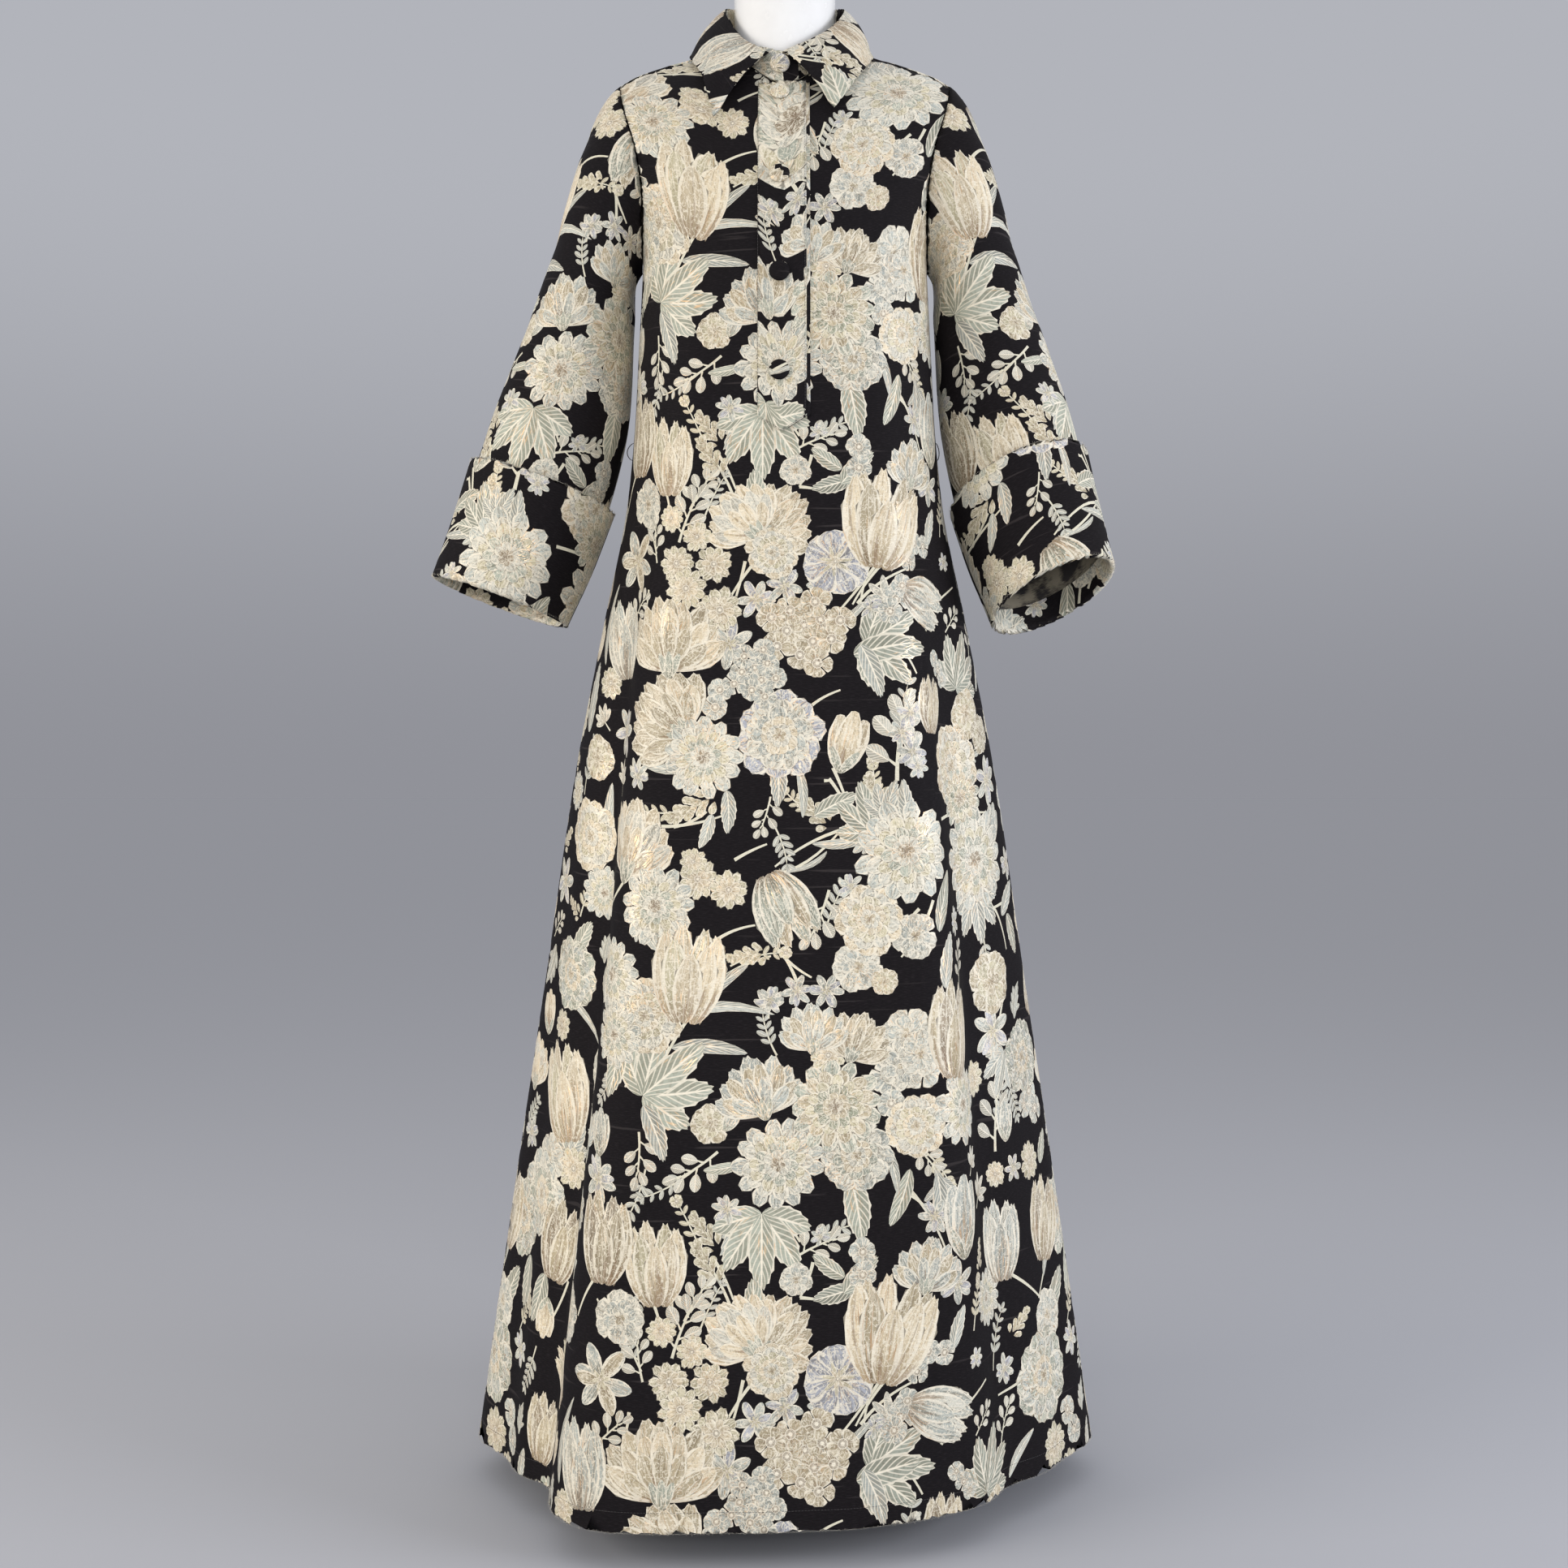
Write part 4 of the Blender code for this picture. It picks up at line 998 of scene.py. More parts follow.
MOTIFS = {
    "catkin": (catkin,),
    "spray": (spray,),
    "lily": (lily,),
    "ragged": (ragged_leaf,),
    "peony": (round_flower, "peony"),
    "peony_cream": (round_flower, "peony", {"mist": "cream", "sage": "straw"}),
    "peony_green": (round_flower, "peony", {"mist": "sage", "ivory": "mist"}),
    "mum": (round_flower, "mum"),
    "mum_pale": (round_flower, "mum", {"sage": "mist", "olive": "sage", "beige": "ivory"}),
    "hollyhock": (round_flower, "hollyhock"),
    "star": (round_flower, "star"),
    "peony_slate": (round_flower, "peony", {"mist": "slate", "sage": "mist"}),
    "carnation": (round_flower, "daisy", {"cream": "straw", "straw": "cream"}),
    "columbine": (round_flower, "star", {"slate": "beige"}),
    "tulip_hanging": (tulip, "sage", "beige", 1.1),
    "primrose": (round_flower, "primrose", {"beige": "mist"}),
    "daisy": (round_flower, "daisy"),
    "daisy_pale": (round_flower, "daisy", {"cream": "mist"}),
    "rose": (round_flower, "rose"),
    "rose_beige": (round_flower, "rose", {"ivory": "beige", "mist": "straw"}),
    "tulip": (tulip,),
    "tulip_beige": (tulip, "beige", "fawn"),
    "tulip_open": (tulip, "cream", "beige", 1.35),
    "tulip_pale": (tulip, "mist", "ivory", 0.9),
    "fan": (fan,),
    "fan_cream": (fan, "cream", "ivory", 8, 58),
    "fan_pale": (fan, "mist", "beige", 8, 70),
    "bud": (bud,),
    "bud_pale": (bud, "mist"),
    "cluster": (cluster,),
    "cluster_pale": (cluster, 10, 0.35, {"beige": "mist"}),
    "lobed_leaf": (lobed_leaf,),
    "lobed_pale": (lobed_leaf, "mist"),
    "saw_leaf": (saw_leaf,),
    "saw_pale": (saw_leaf, 0.36, 0.14, "mist"),
    "long_leaf": (long_leaf,),
    "long_curl": (long_leaf, 0.15, 0.55),
    "long_wide": (long_leaf, 0.30, 0.18, "sage"),
}


def drawn(name):
    """The shapes of a new flower or leaf of this kind."""
    maker, *facts = MOTIFS[name]
    return maker(*facts)


# The repeat, charted: a kind, then the place of each one's middle and its size, in mm, and
# degrees clockwise for those that are turned. Later ones lie over earlier ones.
MOTIF_ROWS = (
    ("catkin", (-81, 289, 50, -39), (95, 721, 58, -32), (28, 706, 52, -50), (-98, 708, 62, -118),
        (-40, 559, 46, -100), (-298, 592, 36, -60), (-79, 258, 56, -30), (-371, 175, 45, 150)),
    ("spray", (37, 593, 58, 195), (-18, 698, 40, 190), (-89, 225, 46, 25), (-147, 168, 46, -15),
        (114, 782, 85), (273, 381, 70), (-143, 356, 50, 175), (-90, 345, 55, -130), (-103, 199, 60, 15),
        (35, 277, 50, 60), (146, 355, 45, 130), (-173, 97, 45, 40)),
    ("lily", (105, 108, 46, -15), (-157, 744, 36, 10), (-16, 513, 36), (-385, 281, 45, 20)),
    ("ragged", (82, 674, 50, -110), (-361, 523, 55, 200), (-142, 581, 45, 120), (251, 601, 60, 70),
        (125, 465, 55, 160), (-302, 346, 55, 200), (-50, 286, 50, 190), (160, 310, 60, 165)),
    ("saw_leaf", (52, 712, 50, 60)),
    ("long_curl", (-56, 501, 85, 60)),
    ("long_leaf", (-76, 467, 80, 80), (-60, 532, 60, 35), (57, 673, 60, 250)),
    ("long_curl", (22, 653, 45, 215)),
    ("saw_pale", (-57, 705, 45, 170), (-79, 685, 38, 190)),
    ("lobed_leaf", (84, 705, 58, -15)),
    ("lobed_pale", (107, 715, 40, 20)),
    ("saw_leaf", (-281, 560, 50, 30)),
    ("lobed_leaf", (-23, 272, 78, 180)),
    ("saw_leaf", (73, 307, 65, 165)),
    ("long_wide", (118, 316, 62, 190)),
    ("saw_leaf", (43, 252, 40, -60), (49, 225, 45, 250)),
    ("lobed_leaf", (-115, 443, 85, 50)),
    ("saw_pale", (-129, 384, 60, 150)),
    ("long_leaf", (108, 345, 55, 150)),
    ("lobed_leaf", (115, 54, 75, 95)),
    ("saw_leaf", (-30, 214, 60, -10)),
    ("saw_pale", (180, 183, 45, 10)),
    ("saw_leaf", (104, 53, 70, 75)),
    ("saw_pale", (91, 29, 60, 150)),
    ("long_curl", (-231, 74, 85, -15)),
    ("long_leaf", (293, 29, 60, 30)),
    ("saw_leaf", (-345, 181, 60, 200)),
    ("long_leaf", (367, 222, 60, 15), (74, 89, 45, 30)),
    ("saw_leaf", (75, 244, 50, 40)),
    ("long_leaf", (-124, 751, 60, -100)),
    ("saw_pale", (-6, 734, 50, 170)),
    ("long_leaf", (17, 725, 55, 160)),
    ("saw_pale", (35, 392, 50, 240)),
    ("saw_leaf", (15, 420, 45, -50)),
    ("long_wide", (-62, 349, 40, 250)),
    ("saw_pale", (-273, 816, 80, 5)),
    ("long_curl", (-288, 480, 75, 100)),
    ("saw_leaf", (-175, 443, 60, 190)),
    ("lobed_pale", (-302, 354, 50)),
    ("saw_leaf", (-381, 189, 60, 190)),
    ("long_leaf", (-236, 688, 80, -10)),
    ("lobed_leaf", (232, 38, 70, 20)),
    ("saw_pale", (124, 711, 50, -20)),
    ("long_wide", (169, 610, 70, 10)),
    ("lobed_pale", (258, 590, 60, 170)),
    ("saw_pale", (324, 605, 55, 40)),
    ("saw_leaf", (332, 565, 50, 150)),
    ("saw_pale", (172, 550, 60, 5)),
    ("lobed_pale", (288, 424, 50, 200)),
    ("saw_leaf", (372, 332, 40, 20), (379, 176, 60, 30)),
    ("columbine", (-185, 142, 80, 180)),
    ("star", (-30, 105, 46), (0, 119, 44, 20), (-57, 58, 56, 10), (40, 118, 40, 5), (14, 94, 30),
        (-58, 309, 34, 40), (104, 101, 34), (87, 94, 26, 30), (35, 282, 22), (153, 295, 40, 170),
        (-156, 739, 32, 10), (131, 761, 36, 15), (12, 524, 36, 5), (42, 523, 40, 50), (-15, 514, 32, -20),
        (67, 628, 30), (209, 147, 26), (302, 320, 34, 40), (-390, 343, 40), (-330, 617, 60),
        (-194, 333, 55, 10), (130, 803, 36), (121, 783, 34, 20), (132, 765, 40, 40), (139, 748, 30, 10),
        (280, 731, 60), (277, 466, 65), (180, 227, 50)),
    ("carnation", (-122, 191, 32), (-92, 172, 34, 30), (-114, 143, 42), (-74, 142, 42), (-103, 117, 46),
        (-68, 95, 50), (-87, 637, 44), (-57, 626, 42, 20), (-93, 654, 30, 20), (43, 460, 40),
        (356, 21, 50), (272, 318, 30), (-231, 12, 38), (-295, 322, 48), (240, 421, 40)),
    ("primrose", (-72, 813, 30), (-66, 11, 28, 30), (77, 266, 30), (78, 243, 30, 40), (145, 163, 30),
        (164, 160, 28, 50), (134, 145, 26, 20), (105, 437, 44), (139, 441, 42, 30), (107, 410, 32, 10),
        (132, 470, 50), (107, 471, 40), (389, 47, 34), (-398, 24, 32, 30), (117, 103, 34),
        (110, 91, 30, 20), (124, 117, 28, 40), (179, 41, 22), (189, 29, 22, 30), (197, 19, 20, 10),
        (351, 393, 36), (363, 372, 34, 30), (336, 381, 30, 50)),
    ("rose", (-165, 204, 58), (11, 241, 36), (74, 546, 56), (132, 575, 52), (-335, 328, 55),
        (125, 477, 60), (119, 449, 55, 20), (137, 457, 50, 40), (357, 156, 60)),
    ("rose_beige", (-75, 393, 44), (101, 531, 30), (-251, 752, 55), (240, 803, 60), (271, 781, 50),
        (276, 517, 75)),
    ("bud", (64, 775, 68, 15), (-10, 372, 34), (-333, 164, 45, 190)),
    ("bud_pale", (190, 290, 88), (-54, 396, 25, 30), (-195, 378, 50), (289, 682, 55, 20), (291, 371, 45)),
    ("fan", (-127, 805, 85, -55), (-7, 192, 70, 40), (73, 476, 55, 20), (-121, 66, 90)),
    ("fan_cream", (-167, 674, 95, 12), (-44, 192, 72, -40)),
    ("fan_pale", (-28, 428, 70, -15), (29, 486, 55), (147, 247, 60, 10)),
    ("daisy_pale", (-305, 714, 45)),
    ("peony_cream", (-14, 153, 60), (85, 594, 78), (-142, 499, 85), (132, 386, 70), (-265, 670, 85),
        (213, 747, 95)),
    ("peony", (73, 361, 80), (-351, 287, 95)),
    ("peony_slate", (-3, 785, 98)),
    ("peony_green", (339, 97, 105), (-301, 522, 85), (-399, 252, 90), (337, 434, 85)),
    ("mum_pale", (-83, 761, 88), (-132, 609, 85), (123, 661, 110), (-7, 354, 94), (-187, 536, 80),
        (-178, 477, 70), (-248, 611, 60), (251, 650, 115), (192, 401, 85), (243, 197, 60)),
    ("mum", (52, 408, 96), (227, 713, 70)),
    ("hollyhock", (53, 143, 78)),
    ("cluster", (22, 70, 108)),
    ("cluster_pale", (-31, 27, 75)),
    ("tulip_hanging", (0, 605, 85, 155)),
    ("tulip", (-97, 542, 105, 5), (-128, 257, 88, -3), (-312, 399, 110, -10)),
    ("tulip_open", (106, 188, 112, 12)),
    ("tulip_beige", (365, 257, 95, 10), (-330, 54, 75, 10), (182, 480, 105, 5), (-185, 278, 95),
        (-311, 245, 90, 15), (164, 813, 65, 5)),
    ("tulip_pale", (276, 250, 90), (-206, 59, 90, -5), (163, 100, 80, 110)),
)

# Stalks: from one point to another, in mm, and how far they bow.
STALK_ROWS = (
    (112, 688, 60, 686, -0.05), (60, 686, -10, 649, -0.22), (45, 738, 70, 687, 0.2),
    (40, 736, 47, 736, 0.0), (-69, 259, -51, 222, 0.12), (-7, 565, 27, 537, -0.2),
    (-51, 656, -18, 672, 0.1), (-63, 537, -14, 559, 0.2), (-126, 690, -64, 701, -0.15),
    (28, 257, 15, 223, 0.15), (15, 223, 36, 220, 0.05), (-120, 234, -113, 213, 0.1),
    (-112, 239, -111, 204, 0.0), (106, 145, 70, 98, -0.15), (174, 693, 275, 697, 0.1),
    (323, 602, 251, 593, 0.1), (-97, 497, -126, 444, -0.1), (-16, 640, 60, 689, -0.45),
    (49, 749, 66, 704, 0.08), (-132, 225, -121, 192, 0.05), (101, 148, 50, 85, 0.06),
    (-184, 247, -220, 195, -0.2), (-30, 145, -61, 99, -0.1), (-41, 145, -53, 99, 0.05),
    (-6, 301, 15, 277, 0.2), (19, 805, 57, 829, 0.3), (-10, 161, 14, 191, 0.25),
    (-50, 204, -74, 254, -0.15), (75, 99, 134, 137, 0.3), (99, 72, 140, 25, 0.25),
    (-71, 574, -30, 590, 0.25), (12, 533, -10, 570, -0.2), (161, 70, 228, 120, 0.4),
    (-162, 191, -190, 218, 0.1), (367, 222, 339, 177, 0.1), (290, 212, 358, 164, 0.1),
    (297, 495, 273, 442, 0.05), (113, 325, 151, 295, 0.3), (117, 333, 165, 261, 0.2),
    (-136, 468, -162, 427, 0.1), (100, 170, 78, 98, -0.15), (-314, 361, -275, 325, 0.2),
    (-298, 207, -333, 151, 0.1), (-80, 706, -113, 689, 0.25), (-171, 632, -242, 587, 0.2),
    (153, 611, 118, 555, 0.2), (137, 603, 109, 571, -0.1), (314, 107, 261, 94, 0.2),
    (-153, 114, -157, 91, 0.1), (287, 595, 314, 549, 0.3),
)

# Sprigs: where they start and their length, in mm, degrees clockwise, bow, leaf size in mm, and 1
# if they carry buds.
SPRIG_ROWS = (
    (120, 752, 85, 0, 0.1, 14, 0), (-102, 706, 60, -100, 0.2, 8, 1), (-12, 693, 45, 150, 0.2, 10, 0),
    (97, 710, 45, -15, 0.1, 8, 1), (31, 700, 45, -60, 0.2, 8, 1), (41, 581, 50, 10, 0.2, 11, 0),
    (-55, 549, 55, 60, 0.3, 8, 1), (-8, 460, 45, -30, 0.2, 9, 0), (-77, 254, 70, -20, -0.1, 8, 1),
    (-139, 348, 55, 190, 0.2, 9, 0), (-89, 349, 60, -130, 0.2, 9, 0), (27, 277, 50, 60, 0.2, 9, 0),
    (-141, 153, 50, -30, 0.1, 9, 0), (-84, 192, 50, 20, 0.1, 8, 0), (-283, 583, 45, 20, 0.2, 9, 1),
    (252, 121, 60, 10, 0.2, 10, 0), (-133, 260, 45, 190, 0.1, 9, 0), (285, 356, 60, 0, 0.1, 12, 0),
    (298, 414, 45, 150, 0.1, 10, 0), (142, 360, 45, 130, 0.2, 9, 1), (398, 338, 45, 20, 0.2, 10, 0),
    (-345, 133, 50, 200, 0.1, 10, 0), (-397, 135, 45, 30, 0.1, 9, 1), (204, 174, 50, 10, 0.1, 8, 1),
    (-173, 450, 45, 200, 0.2, 10, 0), (225, 717, 60, 20, 0.2, 12, 0), (-279, 711, 60, 10, 0.2, 12, 0),
    (264, 571, 45, 160, 0.2, 10, 0), (117, 249, 45, 100, 0.2, 9, 0),
)


def stalk_between(x, y, far_x, far_y, bow):
    """A stem between two points of the cloth, bowed to its side."""
    way = np.array([far_x - x, far_y - y])
    length = float(np.linalg.norm(way))
    bend = math.tan(math.radians(60 * bow))
    chord = math.hypot(1.0, bend)
    turn = math.degrees(math.atan2(way[0], way[1]) - math.atan(bend))
    return placed(stalk(length / chord, bend), x, y, turn)


def thinned(outline):
    """The outline without the points too close together to show."""
    keep = [0]
    for i in range(1, len(outline)):
        if np.linalg.norm(outline[i] - outline[keep[-1]]) >= LEAST_EDGE:
            keep.append(i)
    return outline[keep] if len(keep) > 4 else outline


def cells_of(outline):
    """The column and row of every cell of the filling grid that the outline covers."""
    low, high = np.floor(outline.min(axis=0) / FILL_CELL), np.ceil(outline.max(axis=0) / FILL_CELL)
    cells = np.stack(np.meshgrid(np.arange(low[0], high[0]), np.arange(low[1], high[1])), axis=-1)
    cells = cells.reshape(-1, 2)
    return cells[within((cells + 0.5) * FILL_CELL, outline)].astype(int)


def bare_depth(covered):
    """How far each cell is from the nearest flower."""
    depth = np.zeros(covered.shape)
    while not covered.all():
        depth += ~covered
        for axis in (0, 1):
            covered = covered | np.roll(covered, 1, axis) | np.roll(covered, -1, axis)
    return depth * FILL_CELL


def filler_rows(groups):
    """Rows like the chart's for the bare places outside the charted middle, deepest first."""
    columns, rows = np.round(np.array(REPEAT) / FILL_CELL).astype(int)
    covered = np.zeros((rows, columns), bool)
    charted = np.arange(-CHARTED_HALF_WIDTH, CHARTED_HALF_WIDTH, FILL_CELL) / FILL_CELL
    covered[:, charted.astype(int) % columns] = True
    for shape in (shape for shapes in groups for shape in shapes):
        cells = cells_of(shape["outline"])
        covered[cells[:, 1] % rows, cells[:, 0] % columns] = True
    round_about = np.linspace(0, 2 * math.pi, 16, endpoint=False)
    circle = np.stack([np.cos(round_about), np.sin(round_about)], axis=1)
    found = []
    for _ in range(FILLERS_AT_MOST):
        depth = bare_depth(covered)
        row, column = np.unravel_index(np.argmax(depth), depth.shape)
        radius = depth[row, column]
        kinds = next((kinds for least, kinds in FILLERS if radius > least), None)
        if kinds is None:
            break
        x, y = (column + 0.5) * FILL_CELL, (row + 0.5) * FILL_CELL
        turn = int(chance.integers(-5, 6)) * 10
        found.append((kinds[len(found) % len(kinds)], x, y, FILL_REACH * radius, turn))
        cells = cells_of(circle * radius * 0.85 + (x, y))
        covered[cells[:, 1] % rows, cells[:, 0] % columns] = True
    return found


def motif(name, x, y, size, turn=0):
    """A motif at its place in the repeat, in its own tone."""
    shapes = drawn(name)
    tone = float(chance.uniform(0.82, 1.12))
    for shape in shapes:
        shape["dye"] = shape["dye"] * tone
    spots = np.concatenate([shape["outline"] for shape in shapes])
    middle = (spots.min(axis=0) + spots.max(axis=0)) / 2
    return placed(placed(shapes, *-middle), x, y, turn, size * FLOWER_SIZE)


def repeat():
    """The flowers of one repeat, as groups of shapes with the middle and reach of each."""
    groups = [stalk_between(*metres(ends), bow) for *ends, bow in STALK_ROWS]
    for x, y, length, turn, bow, leaf, buds in SPRIG_ROWS:
        x, y, length, leaf = metres((x, y, length, leaf))
        branch = sprig(length, bow, leaf, "straw" if buds else "mist", bool(buds))
        groups.append(placed(branch, x, y, turn))
    for name, *spots in MOTIF_ROWS:
        groups += [motif(name, *metres(spot[:3]), *spot[3:]) for spot in spots]
    groups = [motif(*row) for row in filler_rows(groups)] + groups
    for shape in (shape for shapes in groups for shape in shapes):
        shape["outline"] = thinned(shape["outline"])
    found = []
    for shapes in groups:
        spots = np.concatenate([shape["outline"] for shape in shapes])
        middle = spots.mean(axis=0)
        found.append((shapes, middle, float(np.linalg.norm(spots - middle, axis=1).max())))
    return found


def repeat_over(cloth, shift):
    """The flowers that fall on a piece whose flat origin lies at shift in the repeat."""
    spots = cloth.flat.reshape(-1, 2)
    low, high = spots.min(axis=0), spots.max(axis=0)
    first = np.floor((low + shift) / REPEAT - 0.6).astype(int)
    last = np.ceil((high + shift) / REPEAT + 0.6).astype(int)
    found = []
    for shapes, middle, reach in FLOWERS:
        for column in range(first[0], last[0] + 1):
            for row in range(first[1], last[1] + 1):
                move = np.array([column, row]) * REPEAT - shift
                if cloth.finder.find_nearest((*(middle + move), 0.0), reach)[0] is not None:
                    found += placed(shapes, *move)
    return found


FLOWERS = repeat()


# Materials

# Kinds of node, some with settings that they are always used with.
MATH, RAMP, TINT = "ShaderNodeMath", "ShaderNodeMapRange", "ShaderNodeMixRGB"
NOISE, BUMP, VECTOR = "ShaderNodeTexNoise", "ShaderNodeBump", "ShaderNodeVectorMath"
JOINED, PARTED = "ShaderNodeCombineXYZ", "ShaderNodeSeparateXYZ"
SMOOTH_RAMP = (RAMP, {"interpolation_type": "SMOOTHSTEP"})
TIMES = (MATH, {"operation": "MULTIPLY"})
TIMES_PLUS = (MATH, {"operation": "MULTIPLY_ADD"})
MINUS = (MATH, {"operation": "SUBTRACT"})


def add(tree, kind, inputs=(), **settings):
    """Adds a node; an input is a value, a socket, or a node, whose first output is taken."""
    kind, own = kind if isinstance(kind, tuple) else (kind, {})
    made = tree.nodes.new(kind)
    for key, value in (own | settings).items():
        setattr(made, key, value)
    for key, value in inputs.items() if isinstance(inputs, dict) else enumerate(inputs):
        if isinstance(value, bpy.types.Node):
            value = value.outputs[0]
        if isinstance(value, bpy.types.NodeSocket):
            tree.links.new(value, made.inputs[key])
        elif value is not None:
            made.inputs[key].default_value = value
    return made


def blank(name):
    material = bpy.data.materials.new(name)
    material.use_nodes = True
    material.node_tree.nodes.clear()
    return material, material.node_tree


def finish_with(tree, inputs):
    """A Principled surface with these inputs, as the material's output."""
    surface = add(tree, "ShaderNodeBsdfPrincipled", inputs)
    add(tree, "ShaderNodeOutputMaterial", {"Surface": surface})


def colour(code):
    return (*linear(code), 1.0)


YARN = 0.6 * MM  # real yarns are 0.25 mm apart; drawn coarser so that a whole view still shows them
FLOAT_RUN = 6 * MM


def brocade():
    """Woven figured brocade: satin-like floats of cream and grey yarn over a black ground. The eye
    gets matt black cloth, grey-green petals drawn over with raised cream lines, and a few copper
    threads."""
    material, tree = blank("brocade")
    node = partial(add, tree)

    def stretched(place, scale, detail=2.0):
        """Noise with a scale of its own along each axis."""
        spread = node(VECTOR, (place, scale), operation="MULTIPLY")
        return node(NOISE, {"Vector": spread, "Scale": 1.0, "Detail": detail, "Roughness": 0.55})

    petal = node("ShaderNodeAttribute", attribute_name="petal").outputs["Vector"]
    weave = node("ShaderNodeAttribute", attribute_name="weave").outputs["Vector"]
    dye = node("ShaderNodeAttribute", attribute_name="dye").outputs["Color"]
    flat = node("ShaderNodeUVMap", uv_map="flat")
    across, along, bulge = node(PARTED, (petal,)).outputs
    seed, kind, burn = node(PARTED, (weave,)).outputs
    figure = node(MATH, (kind, 0.5), operation="GREATER_THAN")
    leaf = node(MATH, (kind, float(LEAF), 0.1), operation="COMPARE")
    round_one = node(MATH, (kind, float(DISC), 0.1), operation="COMPARE")
    stem = node(MATH, (kind, float(STEM), 0.1), operation="COMPARE")
    # The half width of the petal at this share of its length, as in profile().
    held = node(RAMP, (along, 0.0, 1.0, 0.012, 0.988))
    swell = node(MATH, (held, bulge), operation="POWER")
    sine = node(MATH, (node(TIMES, (swell, math.pi)),), operation="SINE")
    wide = node(MATH, (sine, 0.55), operation="POWER")
    side = node(MATH, (across, node(MATH, (wide, 0.06), operation="ADD")), operation="DIVIDE")
    reach = node(MATH, (side,), operation="ABSOLUTE")
    base = node(MINUS, (1.0, along))
    squares = node(VECTOR, (petal, (1.0, 1.0, 0.0)), operation="MULTIPLY")
    radius = node(VECTOR, (squares,), operation="LENGTH").outputs["Value"]
    # Drawn lines run along the petal and close in on its base.
    place = node(JOINED, (side, along, seed))
    lines = stretched(place, (3.6, 1.6, 3.0), 2.5)
    fine = stretched(place, (7.5, 2.2, 5.0))
    curls = stretched(flat, (190.0, 150.0, 1.0), 1.5)
    ripples = stretched(flat, (240.0, 210.0, 1.0), 1.0)

    def winding(value, width):
        """Thin lines that wind where the noise passes through its middle."""
        off = node(MATH, (node(MINUS, (value, 0.5)),), operation="ABSOLUTE")
        return node(SMOOTH_RAMP, (off, 0.3 * width, width, 1.0, 0.0))

    wavy = node(TIMES_PLUS, (curls, 0.50, node(MINUS, (reach, 0.25))))
    dark = node(TINT, (1.0, dye, colour("#B0A797")), blend_type="MULTIPLY")
    pale = colour("#ECE3CE")
    tone = node(TINT, (node(SMOOTH_RAMP, (along, 0.0, 0.65, 0.75, 0.0)), dye, dark))
    tone = node(TINT, (node(TIMES, (node(SMOOTH_RAMP, (lines, 0.52, 0.60)), 0.55)), tone, dark))
    tone = node(TINT, (node(TIMES, (winding(ripples, 0.030), 0.45)), tone, dark))
    tone = node(TINT, (node(TIMES, (node(SMOOTH_RAMP, (fine, 0.52, 0.58)), 0.55)), tone, pale))
    tone = node(TINT, (node(TIMES, (winding(curls, 0.035), 0.70)), tone, pale))
    # Brown flames at the base of tulips and carnations.
    flame = node(TIMES_PLUS, (base, 0.55, node(TIMES_PLUS, (lines, 1.5, node(TIMES, (fine, 0.8))))))
    flame = node(TIMES, (node(SMOOTH_RAMP, (flame, 1.56, 1.66, 0.0, 0.8)), burn))
    tone = node(TINT, (flame, tone, colour("#85684C")))
    # A raised cream line round each petal, and a thin dark one outside it.
    rim = node(SMOOTH_RAMP, (wavy, 0.66, 0.76))
    rim = node(TIMES, (rim, node(SMOOTH_RAMP, (reach, 0.95, 1.0, 1.0, 0.0))))
    tone = node(TINT, (node(TIMES, (rim, 0.72)), tone, pale))
    edge = node(TIMES, (node(SMOOTH_RAMP, (reach, 0.93, 0.99)), 0.75))
    tone = node(TINT, (edge, tone, colour("#6F685A")))
    # Leaves: a pale midrib, side veins that lean to the tip, one darker half and a pale rim.
    vein = node(MATH, (node(TIMES_PLUS, (along, 44.0, node(TIMES, (reach, -16.0)))),), operation="SINE")
    midrib = node(SMOOTH_RAMP, (reach, 0.04, 0.12, 1.0, 0.0))
    vein = node(MATH, (node(SMOOTH_RAMP, (vein, 0.35, 0.95, 0.0, 0.75)), midrib), operation="MAXIMUM")
    vein = node(MATH, (vein, node(SMOOTH_RAMP, (reach, 0.80, 0.90, 0.0, 0.8))), operation="MAXIMUM")
    blade = node(TINT, (node(SMOOTH_RAMP, (side, -0.02, 0.02, 0.45, 0.1)), dye, dark))
    blade = node(TINT, (node(TIMES, (node(SMOOTH_RAMP, (curls, 0.5, 0.6)), 0.3)), blade, dark))
    blade = node(TINT, (vein, blade, pale))
    tone = node(TINT, (leaf, tone, blade))
    # Flower centres: a dark ring with threads that run outwards.
    ring = node(SMOOTH_RAMP, (radius, 0.30, 0.45))
    ring = node(TIMES, (ring, node(SMOOTH_RAMP, (radius, 0.75, 0.95, 1.0, 0.0))))
    ring = node(TIMES, (ring, node(SMOOTH_RAMP, (fine, 0.4, 0.6, 0.2, 0.9))))
    centre = node(TINT, (ring, pale, colour("#6E5C46")))
    tone = node(TINT, (round_one, tone, centre))
    tone = node(TINT, (stem, tone, colour("#D9D3BC")))
    # Weft yarns across the cloth, in the ground and over the figures.
    grain = stretched(flat, (1 / FLOAT_RUN, 1 / YARN, 1.0), 1.0)
    streaks = stretched(flat, (9.0, 190.0, 1.0), 1.0)
    woven_grain = node(TIMES, (node(SMOOTH_RAMP, (grain, 0.45, 0.75)), 0.6))
    ground = node(TINT, (woven_grain, colour("#141113"), colour("#272325")))
    loose = node(TIMES, (node(SMOOTH_RAMP, (streaks, 0.66, 0.74)), 0.35))
    ground = node(TINT, (loose, ground, colour("#4A4443")))
    worn = node(SMOOTH_RAMP, (grain, 0.3, 0.7, 0.88, 1.06))
    tone = node(TINT, (1.0, tone, worn), blend_type="MULTIPLY")
